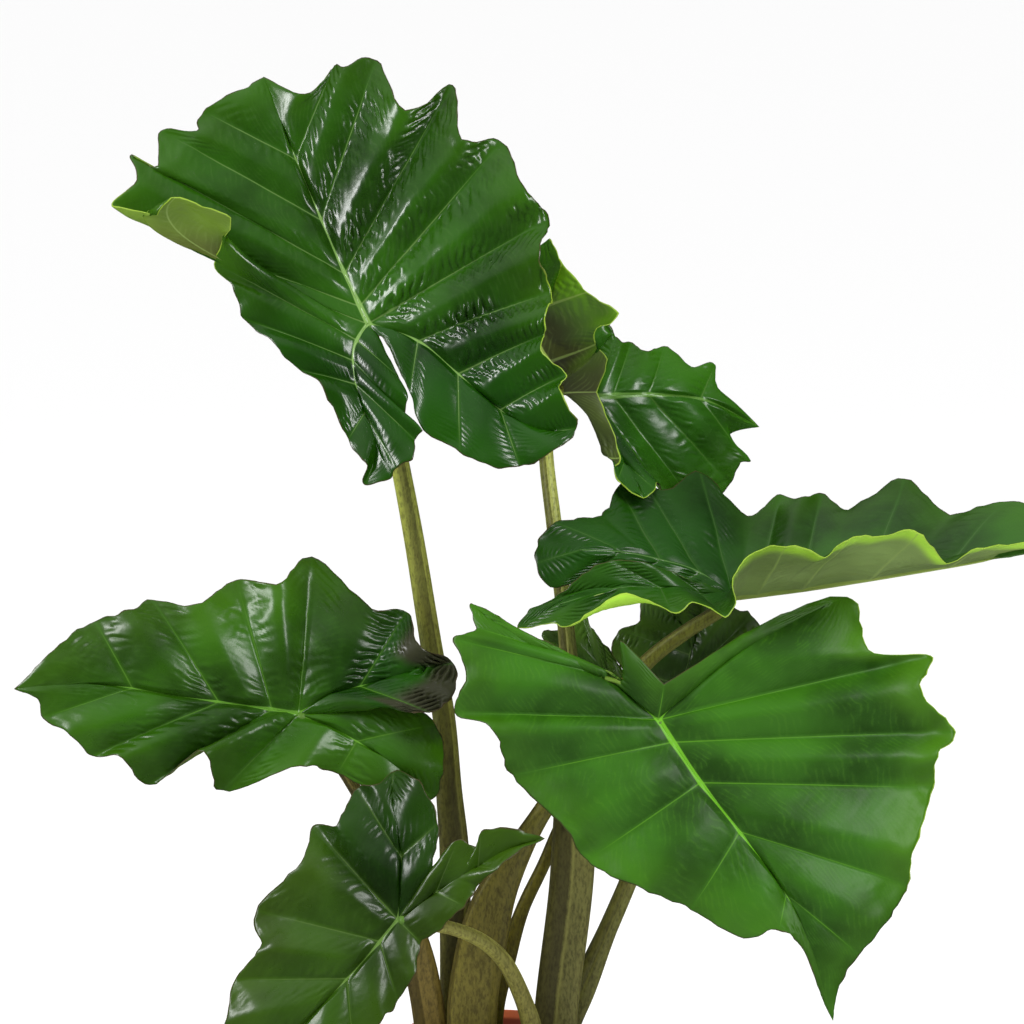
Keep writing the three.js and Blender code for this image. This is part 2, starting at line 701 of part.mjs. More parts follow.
function geometryOf(made) {
  const mesh = made.getMesh();
  return new THREE.BufferGeometry()
    .setAttribute("position", new THREE.BufferAttribute(mesh.vertProperties, 3))
    .setIndex(new THREE.BufferAttribute(mesh.triVerts, 1));
}

function largestPiece(made) {
  return made.decompose().reduce((a, b) => (a.volume() > b.volume() ? a : b));
}

// What a stalk's hole in the soil takes away: the stalk with a gap all round.
function stalkHole(stalk, leaf, seat) {
  const wider = (size) => size.map((x) => x + 2 * HOLE_GAP);
  const wide = { ...stalk, foot: wider(stalk.foot), top: wider(stalk.top) };
  return solid(stalkGeometry(wide, leaf, seat, HOLE_GAP));
}

const group = new THREE.Group();
function addMesh(name, geometry, material) {
  geometry.computeVertexNormals();
  const mesh = new THREE.Mesh(geometry, material);
  mesh.name = name;
  group.add(mesh);
}

function drainHoles() {
  const drill = new THREE.CylinderGeometry(DRAIN.radius, DRAIN.radius, 4 * POT.floor, DRAIN.sides);
  drill.rotateX(Math.PI / 2);
  return Array.from({ length: DRAIN.count }, (_, k) => {
    const angle = (k / DRAIN.count) * 2 * Math.PI;
    return solid(drill.clone().translate(DRAIN.ring * Math.cos(angle), DRAIN.ring * Math.sin(angle), 0));
  });
}

const pot = drainHoles().reduce((body, hole) => body.subtract(hole), solid(potGeometry()));
addMesh("pot", geometryOf(pot), TERRACOTTA);

let soil = solid(soilGeometry());
for (const leaf of LEAVES) {
  const stalk = STALKS.find((s) => s.leaf === leaf.name);
  const blade = thicken(bladeSheet(leaf), BLADE_THICKNESS);
  const seat = stalkSeat(stalk, leaf, blade);
  addMesh(leaf.name + "_blade", blade, GREEN);
  addMesh(stalk.name, stalkGeometry(stalk, leaf, seat), OLIVE);
  soil = soil.subtract(stalkHole(stalk, leaf, seat));
}
addMesh("soil", geometryOf(largestPiece(soil)), PEAT);

export default group;
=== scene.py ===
"""The looks of a potted alocasia with seven waved, glossy, arrow-shaped leaves.

Every leaf and stalk is drawn again from the values that shape its solid, with more points, relief and a
material of its own. Drawn values are millimetres, and they become metres where a mesh is made.
"""

import math

import bpy
import numpy as np
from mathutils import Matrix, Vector


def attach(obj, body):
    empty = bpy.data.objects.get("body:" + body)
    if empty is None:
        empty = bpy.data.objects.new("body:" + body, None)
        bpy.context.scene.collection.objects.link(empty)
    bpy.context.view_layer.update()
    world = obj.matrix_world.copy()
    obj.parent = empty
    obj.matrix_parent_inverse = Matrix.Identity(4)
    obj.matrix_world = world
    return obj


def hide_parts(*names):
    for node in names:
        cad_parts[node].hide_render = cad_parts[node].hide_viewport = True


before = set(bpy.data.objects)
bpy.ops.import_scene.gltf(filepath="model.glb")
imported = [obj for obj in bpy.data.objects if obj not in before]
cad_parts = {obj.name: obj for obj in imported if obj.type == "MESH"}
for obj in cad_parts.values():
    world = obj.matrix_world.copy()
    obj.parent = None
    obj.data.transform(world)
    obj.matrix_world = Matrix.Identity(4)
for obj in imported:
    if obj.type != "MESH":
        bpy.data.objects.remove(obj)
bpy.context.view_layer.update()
METRE = 0.001

# The eye and the plant as it is drawn: u runs right and v runs down, square to the line of sight.
EYE = np.array([17.0, -3500.0, 1331.0])
LOOK_DOWN = math.radians(9.6)
DRAWN_MIDDLE = 512
PICTURE_SIZE = 1024

# The blades, as their solids have them
BLADE_THICKNESS = 1.2
ROOT_POWER = 1.5
KNEE = 0.5
PUFF = 0.09
PUFF_ROOM = 60
FULL_ARCH = 120
RIB_REACH = 0.09
NOTCH_SHARPNESS = 0.3

# The stalks, as their solids have them
STALK_TAPER = 0.8
CHANNEL_DEPTH = 0.34
CHANNEL_WIDTH = 0.75

# The leaves: hub is [u, v, depth], and midrib, sinus, rib and the margin are [u, v, lift] above the leaf's
# plane, which leans by so much a millimetre right and down. The margin runs from the tip through outer, lobe
# and inner to the sinus, with a vein at every second point; three more values say where that vein bends.
LEAVES = [
  {
    "name": "leaf_1", "hub": [368, 324, -45], "lean": [-0.05, -0.35], "arch": 5, "drip": 0,
    "midrib": [[345, 275, -2], [318, 212, -4], [293, 152, -2], [264, 77, 0]],
    "sinus": [377, 334, 2],
    "left": {
      "rib": [[355, 345, 4], [354, 372, 5], [362, 404, 5], [382, 446, 4]],
      "outer": [
        [243, 88, 10], [203, 112, 14], [196, 131, 24], [160, 131, 26], [158, 167, 38], [130, 155, 38],
        [137, 182, 46], [112, 207, 52, 200, 247, 26], [158, 212, 92, 172, 243, 46],
        [175, 198, 98, 200, 248, 44],
      ],
      "lobe": [
        [229, 221, 84, 237, 254, 40], [215, 264, 30], [234, 288, 26], [244, 319, 20], [272, 341, 26],
        [300, 370, 16], [322, 388, 22], [348, 440, 14], [364, 463, 18], [365, 485, 10],
      ],
      "inner": [
        [391, 479, 14], [396, 469, 18], [412, 460, 20], [416, 441, 14], [422, 430, 20], [404, 419, 10],
        [409, 401, 12], [399, 378, 8], [386, 354, 5],
      ],
    },
    "right": {
      "rib": [[418, 341, 5], [458, 374, 8], [500, 410, 8], [538, 436, 6]],
      "outer": [
        [305, 94, 16], [333, 68, 10], [345, 66, 16], [377, 61, 12], [406, 111, 30], [452, 86, 16],
        [463, 139, 34], [503, 142, 20], [524, 188, 36], [550, 219, 22],
      ],
      "lobe": [
        [539, 256, 34], [552, 292, 24], [546, 315, 32], [545, 334, 26], [542, 350, 34], [566, 374, 22],
        [560, 391, 30], [578, 428, 16],
      ],
      "inner": [
        [556, 451, 20], [520, 467, 14], [490, 467, 20], [460, 452, 18], [424, 431, 16], [410, 394, 12],
        [387, 344, 7],
      ],
    },
  },
  {
    "name": "leaf_2", "hub": [594, 397, 92], "lean": [0, 0], "arch": 4, "drip": 0.7,
    "midrib": [[645, 395, -14], [703, 400, -36], [759, 427, -62]],
    "sinus": [597, 392, 28, 564, 393, 26],
    "left": {
      "rib": [[559, 371, -2], [537, 340, -6], [541, 292, -8], [540, 246, -6]],
      "outer": [
        [709, 383, -58], [716, 363, -64], [692, 366, -52], [664, 347, -56], [646, 353, -40],
        [631, 342, -42], [623, 342, -32], [616, 336, -34],
      ],
      "lobe": [
        [611, 329, -36, 575, 352, -34], [596, 316, -36, 566, 332, -36], [574, 308, -34, 554, 316, -30],
        [553, 297, -10], [563, 262, 24], [550, 239, 2],
      ],
      "inner": [
        [559, 261, 4], [588, 292, 26], [616, 313, 36], [593, 334, 48, 608, 338, 34],
        [609, 361, 40, 560, 379, 34],
      ],
    },
    "right": {
      "rib": [[602, 421, 6], [615, 446, 22], [628, 469, 40], [639, 487, 56]],
      "outer": [
        [727, 439, -58], [750, 461, -52], [738, 461, -48], [730, 485, -44], [712, 499, -32],
        [696, 507, -22], [680, 503, -4], [667, 500, 18],
      ],
      "lobe": [
        [662, 492, 30], [659, 485, 40], [656, 484, 48], [655, 490, 56], [650, 495, 61], [644, 498, 64],
      ],
      "inner": [
        [632, 494, 62], [618, 480, 56], [613, 468, 50], [620, 458, 46, 602, 453, 36],
        [611, 424, 38, 583, 417, 30],
      ],
    },
  },
  {
    "name": "leaf_3", "hub": [733, 598, -8], "lean": [0, 0], "arch": -4, "drip": 0.5,
    "midrib": [[800, 590, 16], [880, 578, 24], [960, 565, 28], [1080, 544, 34]],
    "sinus": [716, 590, 8],
    "left": {
      "rib": [[700, 573, -4], [660, 560, 2], [620, 552, 14], [580, 550, 26]],
      "outer": [
        [1056, 520, -8], [1006, 500, -46], [950, 518, -60], [905, 480, -98], [848, 508, -92],
        [822, 493, -118], [801, 499, -98], [780, 496, -112], [747, 517, -88], [700, 472, -96],
      ],
      "lobe": [
        [668, 491, -66], [645, 484, -64], [632, 484, -60], [618, 485, -56], [600, 519, -30], [556, 521, 6],
        [538, 542, 16], [535, 564, 30],
      ],
      "inner": [
        [549, 588, 34], [575, 584, 30], [600, 583, 26], [625, 583, 22], [650, 585, 18], [675, 587, 14],
        [698, 590, 12],
      ],
    },
    "right": {
      "rib": [[700, 594, 24], [660, 588, 40], [620, 588, 52], [560, 604, 62]],
      "outer": [
        [1050, 548, 36], [984, 548, 78], [947, 566, 76], [919, 533, 108], [878, 539, 102], [848, 541, 118],
        [824, 559, 104], [786, 547, 118], [757, 554, 108], [736, 571, 112],
      ],
      "lobe": [
        [738, 603, 106], [725, 617, 104], [692, 604, 98], [671, 612, 96], [620, 595, 88, 632, 608, 80],
        [570, 628, 78], [551, 625, 70], [518, 629, 60],
      ],
      "inner": [
        [531, 608, 54], [556, 596, 54], [580, 574, 52], [612, 560, 46], [645, 562, 38], [672, 572, 30],
        [696, 582, 20],
      ],
    },
  },
  {
    "name": "leaf_4", "hub": [658, 720, -105], "lean": [0.08, -0.3], "arch": 9, "drip": 0.9,
    "midrib": [[700, 782, 3], [746, 840, 4], [792, 905, 0], [833, 1021, -14]],
    "sinus": [664, 684, 16],
    "left": {
      "rib": [[692, 685, 3], [745, 646, 5], [808, 612, 1]],
      "outer": [
        [843, 975, -12], [858, 954, -8], [884, 926, -2], [907, 885, -10], [913, 853, 6], [933, 788, -6],
        [936, 757, 8], [955, 732, -4], [920, 690, 14], [930, 656, 0],
      ],
      "lobe": [[868, 651, 14], [848, 596, -4]],
      "inner": [[754, 629, 8]],
    },
    "right": {
      "rib": [[605, 676, 4], [550, 652, 5], [500, 634, 2]],
      "outer": [
        [803, 952, 0], [779, 930, 6], [744, 937, -2], [691, 909, -2], [642, 889, 8], [586, 861, -6],
        [566, 829, 6], [511, 776, -4], [495, 731, 16], [455, 713, 4],
      ],
      "lobe": [[466, 676, 14], [454, 640, 6], [466, 634, 8], [476, 628, 6], [472, 616, 0], [473, 605, -4]],
      "inner": [[520, 629, 8], [572, 654, 4], [618, 680, 4], [641, 694, 8], [621, 641, 22]],
    },
  },
  {
    "name": "leaf_5", "hub": [298, 714, -75], "lean": [0.15, -0.35], "arch": 7, "drip": 0.2,
    "midrib": [[245, 706, 3], [180, 697, 4], [100, 685, 0], [14, 689, -8]],
    "sinus": [321, 714, 0],
    "left": {
      "rib": [[338, 731, 3], [375, 752, 4], [412, 775, 2]],
      "outer": [
        [37, 698, -6], [43, 718, -6], [74, 738, 4], [92, 756, -4], [122, 758, 10], [150, 785, -6],
        [204, 752, 26], [222, 792, -2],
      ],
      "lobe": [[300, 766, 14], [337, 774, 0], [385, 797, 8], [432, 799, -2]],
      "inner": [[442, 774, 8], [436, 725, 2], [385, 698, -6]],
    },
    "right": {
      "rib": [[335, 694, 5], [385, 680, 8], [425, 668, 8]],
      "outer": [
        [48, 654, 4], [94, 620, -6], [126, 613, 6], [152, 600, -4], [196, 606, 10], [236, 580, -4],
        [276, 585, 16], [312, 557, -6],
      ],
      "lobe": [[372, 609, 10], [407, 611, 0], [419, 645, 20], [454, 663, 14]],
      "inner": [[453, 694, 28], [430, 713, 34], [380, 706, 22]],
    },
  },
  {
    "name": "leaf_6", "hub": [398, 920, -165], "lean": [-0.05, -0.35], "arch": 6, "drip": 0.5,
    "midrib": [[362, 963, 2], [326, 1001, 2], [280, 1052, -2], [232, 1124, -14]],
    "sinus": [426, 878, 3],
    "left": {
      "rib": [[436, 892, 3], [478, 867, 6], [515, 848, 4]],
      "outer": [
        [262, 1104, -4], [296, 1096, -8], [324, 1074, 4], [354, 1052, -4], [380, 1022, 6], [398, 1001, -2],
        [413, 977, 6], [422, 944, 2],
      ],
      "lobe": [
        [443, 928, 8], [464, 906, 10], [479, 884, 6], [497, 869, 24], [522, 851, 14], [546, 838, 10],
      ],
      "inner": [[500, 828, 14], [481, 832, 18], [479, 848, 12], [458, 840, 18], [437, 862, 10]],
    },
    "right": {
      "rib": [[402, 878, 3], [399, 838, 4], [390, 800, 2]],
      "outer": [
        [219, 1088, -6], [219, 1050, -10], [227, 1018, 4], [236, 980, -6], [260, 947, 8], [257, 911, -6],
        [301, 862, 8], [314, 827, -6],
      ],
      "lobe": [[336, 825, 8], [357, 788, -4], [376, 785, 4], [394, 772, -6]],
      "inner": [[420, 782, 8], [438, 824, 10], [433, 862, 12]],
    },
  },
  {
    "name": "leaf_7", "hub": [655, 722, 84], "lean": [0.1, -0.2], "arch": 5, "drip": 0.4,
    "midrib": [[680, 760, 0], [705, 800, 0], [742, 852, -6]],
    "sinus": [650, 706, 2],
    "left": {
      "rib": [[680, 685, 4], [690, 655, 6], [690, 625, 6]],
      "outer": [
        [768, 842, 0], [800, 806, -8], [805, 770, 6], [815, 728, -6], [798, 690, 8], [782, 655, -6],
      ],
      "lobe": [[768, 640, 8], [752, 615, -6], [730, 606, 8], [705, 598, -6], [680, 600, 6], [644, 597, -4]],
      "inner": [[640, 622, 8], [620, 630, 10], [612, 648, 8], [622, 668, 6], [636, 688, 4]],
    },
    "right": {
      "rib": [[630, 700, 3], [610, 680, 4], [592, 655, 4]],
      "outer": [
        [728, 846, 0], [700, 822, -8], [664, 800, 6], [628, 776, -6], [604, 748, 8], [588, 718, -6],
      ],
      "lobe": [[576, 700, 8], [562, 680, -4], [556, 660, 4], [542, 634, -4], [560, 628, 6], [581, 611, -2]],
      "inner": [[592, 628, 8], [602, 642, 6], [612, 658, 4], [626, 676, 4], [638, 692, 4]],
    },
  },
]

# The stalks, in their leaves' order: way is [u, v, depth] from below the soil up to the leaf's hub. foot and
# top are the width across and the thickness. The clasping foot keeps its size up to the first share of
# sheath and has tapered in by the second. seam is where the sheath's edge runs down the stalk: 0 is the left,
# a quarter turn is the front.
STALKS = [
  {
    "name": "stalk_1", "foot": [31, 26], "top": [16, 16], "sheath": [0.26, 0.5], "seam": 2.25,
    "way": [
      [463, 1112, 24], [456, 1020, 22], [455, 935, 18], [454, 850, 16], [449, 793, 13], [444, 720, 11],
      [431, 645, 8], [414, 540, 4], [400, 465, 1], [385, 392, -8], [373, 348, -26],
    ],
  },
  {
    "name": "stalk_2", "foot": [44, 32], "top": [13, 13], "sheath": [0.32, 0.62], "seam": 1.5,
    "way": [
      [550, 1112, -5], [556, 1010, -4], [572, 870, 2], [573, 760, 14], [567, 640, 20], [554, 525, 38],
      [546, 455, 62], [546, 416, 88], [555, 391, 106], [578, 389, 110],
    ],
  },
  {
    "name": "stalk_3", "foot": [51, 30], "top": [14, 14], "sheath": [0.26, 0.54], "seam": 0.45,
    "way": [
      [482, 1112, -24], [472, 1020, -24], [479, 960, -24], [494, 900, -22], [523, 843, -20],
      [572, 766, -16], [612, 704, 0], [650, 659, 8], [690, 629, 4], [720, 610, -2],
    ],
  },
  {
    "name": "stalk_4", "foot": [27, 22], "top": [13, 13], "sheath": [0.24, 0.42], "seam": 1.5,
    "way": [
      [544, 1112, 28], [561, 1040, 31], [584, 985, 36], [602, 942, 34], [627, 884, 25], [650, 825, 4],
      [663, 780, -34], [664, 745, -74], [660, 729, -96],
    ],
  },
  {
    "name": "stalk_5", "foot": [33, 24], "top": [11, 11], "sheath": [0.3, 0.55], "seam": 1.3,
    "way": [
      [442, 1112, -4], [431, 1030, -7], [425, 990, -10], [410, 920, -22], [382, 840, -38], [349, 779, -50],
      [326, 747, -62], [307, 724, -71],
    ],
  },
  {
    "name": "stalk_6", "foot": [21, 17], "top": [11.5, 11.5], "sheath": [0.2, 0.4], "seam": 2.9,
    "way": [
      [537, 1112, -50], [532, 1030, -60], [520, 992, -74], [503, 960, -94], [480, 940, -118],
      [450, 928, -142], [420, 924, -158],
    ],
  },
  {
    "name": "stalk_7", "foot": [20, 18], "top": [10, 10], "sheath": [0.3, 0.5], "seam": 0.7,
    "way": [
      [499, 1112, 36], [494, 1015, 36], [508, 955, 38], [523, 908, 42], [543, 866, 48], [566, 815, 58],
      [602, 765, 72], [641, 733, 82],
    ],
  },
]


# Places

def seen(u, v, depth):
    """Where a drawn point stands at a depth behind the pot's axis."""
    ahead, up = -EYE[1] / math.cos(LOOK_DOWN), DRAWN_MIDDLE - v
    sight = np.array([
        u - DRAWN_MIDDLE,
        ahead * math.cos(LOOK_DOWN) + up * math.sin(LOOK_DOWN),
        up * math.cos(LOOK_DOWN) - ahead * math.sin(LOOK_DOWN),
    ])
    return EYE + sight * (depth - EYE[1]) / sight[1]


def leaf_point(leaf, drawn):
    """The point of a leaf given as [u, v, lift]: the leaf's own plane leans."""
    u, v, lift = drawn
    hub_u, hub_v, hub_depth = leaf["hub"]
    return seen(u, v, hub_depth + leaf["lean"][0] * (u - hub_u) + leaf["lean"][1] * (v - hub_v) - lift)


def curve_at(points, t):
    """Points at shares t of a centripetal Catmull-Rom curve through the given points."""
    points = np.array(points, float)
    padded = np.vstack([2 * points[0] - points[1], points, 2 * points[-1] - points[-2]])
    t = np.atleast_1d(t) * (len(points) - 1)
    i = np.clip(np.floor(t).astype(int), 0, len(points) - 2)
    f = (t - i)[:, None]
    p0, p1, p2, p3 = padded[i], padded[i + 1], padded[i + 2], padded[i + 3]
    pairs = (p0, p1), (p1, p2), (p2, p3)
    d0, d1, d2 = (np.sqrt(np.linalg.norm(b - a, axis=1))[:, None] for a, b in pairs)
    m1 = d1 * ((p1 - p0) / d0 - (p2 - p0) / (d0 + d1) + (p2 - p1) / d1)
    m2 = d1 * ((p2 - p1) / d1 - (p3 - p1) / (d1 + d2) + (p3 - p2) / d2)
    return p1 + m1 * f + (3 * (p2 - p1) - 2 * m1 - m2) * f**2 + (2 * (p1 - p2) + m1 + m2) * f**3


def margin_at(knots, tip_slope, t):
    """Points of a margin that runs round the veins' tips and turns more sharply in the notches."""
    last = len(knots) - 1
    i = np.minimum(np.floor(t).astype(int), last - 1)
    slopes = np.empty_like(knots)
    slopes[0] = tip_slope
    slopes[last] = knots[last] - knots[last - 1]
    slopes[1:last] = (knots[2:] - knots[:-2]) / 2
    steps = np.diff(knots, axis=0)
    notch = (np.arange(last + 1) % 2 == 1) & (np.arange(last + 1) < last)
    sharp = NOTCH_SHARPNESS * notch[:, None]
    leaving = slopes + sharp * (np.vstack([steps, steps[-1:]]) - slopes)
    arriving = slopes + sharp * (np.vstack([steps[:1], steps]) - slopes)
    f = (t - i)[:, None]
    return (
        knots[i] * (2 * f**3 - 3 * f**2 + 1)
        + leaving[i] * (f**3 - 2 * f**2 + f)
        + knots[i + 1] * (3 * f**2 - 2 * f**3)
        + arriving[i + 1] * (f**3 - f**2)
    )


def unit(vectors):
    return vectors / np.maximum(np.linalg.norm(vectors, axis=-1, keepdims=True), 1e-9)


def smooth(x, low, high):
    """0 below low, 1 above high, and an S between them."""
    f = np.clip((x - low) / (high - low), 0, 1)
    return f * f * (3 - 2 * f)


CROSSED_WAVES = 10


def waves(places, pitch, seed):
    """A smooth random height at each place, mostly between -2 and 2, that changes about once a pitch."""
    random = np.random.default_rng(seed)
    total = np.zeros(places.shape[:-1])
    for _ in range(CROSSED_WAVES):
        heading = unit(random.normal(size=3)) * 2 * np.pi / (pitch * random.uniform(0.7, 1.5))
        total += np.cos(places @ heading + random.uniform(0, 2 * np.pi))
    return total / math.sqrt(CROSSED_WAVES / 2)


# The blades

COLUMNS_A_KNOT = 8
ROWS = 76
# How strongly the left and right halves of each leaf are crinkled, or that from knot to knot
CRINKLED = {
    "leaf_1": (
        [(0, 0.4), (11, 0.4), (14, 0.12), (31, 0.12)],
        [(0, 0.5), (3, 0.9), (6, 2.4), (12, 2.8), (14, 2.2), (16, 0.9), (18, 0.2)],
    ),
    "leaf_2": (0.6, 0.5),
    "leaf_3": (0.5, 0.5),
    "leaf_4": (0.2, 0.3),
    "leaf_5": (0.6, [(0, 0.5), (8, 0.7), (10, 1.6), (11, 2.4), (14, 2.4), (15, 0.4)]),
    "leaf_6": (0.12, 0.5),
    "leaf_7": (0.8, 0.8),
}
# How much painted shade darkens the green at the knots of each leaf's left and right halves; above 1 its
# outer part withers
PAINTED_SHADE_AND_WITHERING = {
    "leaf_1": ([(0, 0.1), (12, 0.2), (15, 0.8), (31, 0.8)], [(0, 0.0), (11, 0.2), (14, 0.8), (25, 0.9)]),
    "leaf_2": ([(0, 0.1), (17, 0.1), (18.5, 0.8), (20, 1.0)], [(0, 0.2), (8, 0.3), (10, 0.8), (20, 0.9)]),
    "leaf_3": ([(0, 0.0), (8, 0.1), (10, 0.9), (26, 0.9)], 0.6),
    "leaf_4": (0.1, 0.1),
    "leaf_5": (0.3, [(0, 0.0), (8, 0.1), (10, 0.9), (11, 2.0), (14.3, 2.0), (15, 0.6)]),
    "leaf_6": (0.3, [(0, 0.0), (7, 0.2), (9, 0.9), (15, 0.9)]),
    "leaf_7": (0.0, 0.0),
}
# How far in from its margin a leaf is paler green below, with painted light shining through the blade, and
# where that differs
LIT_THROUGH_REACH = 75
LIT_THROUGH_BELOW = {"leaf_3": 26}
# The knots between which a side's margin is pale; elsewhere its edge is thin and dark
PALE_RIMS = {
    "leaf_1": ((7.5, 12.5), (11.5, 17.5)),
    "leaf_2": ((12.5, 99), (11, 99)),
    "leaf_3": (None, (0, 18)),
    "leaf_4": ((4, 12.5), None),
    "leaf_5": (None, None),
    "leaf_6": (None, None),
    "leaf_7": (None, None),
}
ROW_SPREAD = 1.3
ACROSS = np.linspace(0, 1, ROWS) ** ROW_SPREAD


def at_knots(amounts, t):
    """One amount everywhere, or amounts between the knots that they are given at."""
    if isinstance(amounts, list):
        amounts = np.interp(t, [k for k, _ in amounts], [amount for _, amount in amounts])
    return (amounts * np.ones_like(t))[:, None]


def side_columns(leaf, side, hand):
    """One side of a leaf as columns of points from midrib or rib to margin, with what shades them."""
    hub = seen(*leaf["hub"])
    midrib = [hub] + [leaf_point(leaf, p) for p in leaf["midrib"]]
    rib = [hub] + [leaf_point(leaf, p) for p in side["rib"]]
    entries = [leaf["midrib"][-1], *side["outer"], *side["lobe"], *side["inner"], leaf["sinus"]]
    knots = np.array([leaf_point(leaf, p[:3]) for p in entries])
    outer, lobe, last = len(side["outer"]), len(side["lobe"]), len(entries) - 1

    def along_spine(t):
        main = np.clip(1 - t / outer, 0, 1) ** ROOT_POWER
        back = np.clip(np.where(t <= outer + lobe, t - outer, outer + 2 * lobe - t) / lobe, 0, 1)
        return np.where(t <= outer, main, back)

    def spine(t):
        s = along_spine(t)
        return np.where((t <= outer)[:, None], curve_at(midrib, s), curve_at(rib, s))

    whole = np.arange(last + 1.0)
    knees = (spine(whole) + knots) * KNEE
    for k, entry in enumerate(entries):
        if len(entry) > 3:
            knees[k] = leaf_point(leaf, entry[3:])
    first = knots[1] - knots[0]
    tangent = unit(curve_at(midrib, 1.0) - curve_at(midrib, 1 - 1e-4))[0]
    tip_slope = (1 - leaf["drip"]) * first - leaf["drip"] * np.linalg.norm(first) * tangent
    face = unit(np.array([leaf["lean"][0], -1, -leaf["lean"][1]]))

    t = np.arange(last * COLUMNS_A_KNOT + 1) / COLUMNS_A_KNOT
    start, end = spine(t), margin_at(knots, tip_slope, t)
    knee = np.stack([np.interp(t, whole, knees[:, k]) for k in range(3)], axis=1)
    reach = np.linalg.norm(end - start, axis=1)
    bend = knee - (start + end) * KNEE + face * (leaf["arch"] * np.minimum(1, reach / FULL_ARCH))[:, None]
    s = ACROSS[None, :, None]
    points = start[:, None] * (1 - s) + end[:, None] * s + bend[:, None] * 4 * s * (1 - s)
    points = puff_between_veins(points, t, hand)
    crinkled = at_knots(CRINKLED[leaf["name"]][hand < 0], t)
    rib_width = rib_half_width(t, along_spine(t), outer, THIN_RIBS.get(leaf["name"], 1))
    made = relief(points, t, rib_width, hand, crinkled)
    low, high = PALE_RIMS[leaf["name"]][hand < 0] or (-2, -1)
    pale = smooth(t, low - 0.5, low + 0.5) * (1 - smooth(t, high - 0.5, high + 0.5))
    made["pale"] = pale[:, None] * np.ones(ROWS)
    # Painted shade on each column of the blade, and above 1 its withering
    made["deeper"] = at_knots(PAINTED_SHADE_AND_WITHERING[leaf["name"]][hand < 0], t) * np.ones(ROWS)
    return made


def upward(points, hand):
    """The way that a side's upper face looks at each of its points."""
    across = np.gradient(points, axis=1)
    along = np.gradient(points, axis=0)
    return unit(np.cross(across, along)) * hand


def veins_around(t):
    """The columns of the veins before and after each column: they stand at every second knot."""
    before = (np.floor(t / 2) * 2 * COLUMNS_A_KNOT).astype(int)
    return before, np.minimum(before + 2 * COLUMNS_A_KNOT, len(t) - 1)


def puff_between_veins(points, t, hand):
    """Raises the upper face between the veins."""
    before, after = veins_around(t)
    phase = (t / 2 % 1)[:, None]
    room = np.minimum(PUFF_ROOM, np.linalg.norm(points[before] - points[after], axis=2))
    profile = (1 - 0.5 * ACROSS**2) * np.minimum(1, ACROSS / RIB_REACH)
    height = room * PUFF * profile * 4 * phase * (1 - phase)
    height[[0, -1]] = 0
    return points + upward(points, hand) * height[..., None]


LUMP_PITCH, LUMP_HEIGHT = 70, 0.9
DIMPLE_PITCH, DIMPLE_HEIGHT = 26, 0.16
CRINKLE_PITCH, CRINKLE_HEIGHT = 12.5, 0.85
RUFFLE_PITCH, RUFFLE_HEIGHT, RUFFLE_START = 31, 1.3, 6
NIBBLE_PITCH, NIBBLE_HEIGHT, NIBBLE_START = 17, 0.9, 14
RIB_HALF_WIDTH, MIDRIB_TAPER = 4.2, 0.8
SIDE_RIB, SIDE_RIB_TAPER = 0.62, 0.75
THINNEST_RIB = 0.4
THIN_RIBS = {"leaf_3": 0.7, "leaf_5": 0.8, "leaf_6": 0.6}
VEIN_HALF_WIDTH, VEIN_TAPER = 1.3, 0.6
# Crinkles run in chevrons from the veins, wander, and come in patches
CHEVRON_SLANT, CHEVRON_SKEW = 0.55, 0.25
PATCH_PITCH, PATCH_MIDDLE, PATCH_SWING = 70, 0.9, 0.4
WANDER_PITCHES = 30, 13
# Relief grows where the veins are this far apart
NARROW, ROOMY = 14, 34


def measured_veins(points, t):
    """How far each point is along its row, from a vein and from its column's start, and the veins' pitch."""
    steps = np.linalg.norm(np.diff(points, axis=0), axis=2)
    walked = np.vstack([np.zeros(points.shape[1]), np.cumsum(steps, axis=0)])
    veins = walked[::2 * COLUMNS_A_KNOT]
    away = np.abs(walked[:, None] - veins[None]).min(axis=1)
    before, after = veins_around(t)
    pitch = np.maximum(walked[after] - walked[before], 1e-3)
    outward = np.cumsum(np.linalg.norm(np.diff(points, axis=1, prepend=points[:, :1]), axis=2), axis=1)
    return walked, away, outward, pitch


def rib_half_width(t, progress, outer, rib_size):
    """The midrib tapers to the tip, and the thinner ribs to the ends of the lobes."""
    midrib = t <= outer
    narrowing = np.where(midrib, 1 - MIDRIB_TAPER * progress, SIDE_RIB * (1 - SIDE_RIB_TAPER * progress))
    return (narrowing * RIB_HALF_WIDTH * rib_size)[:, None]


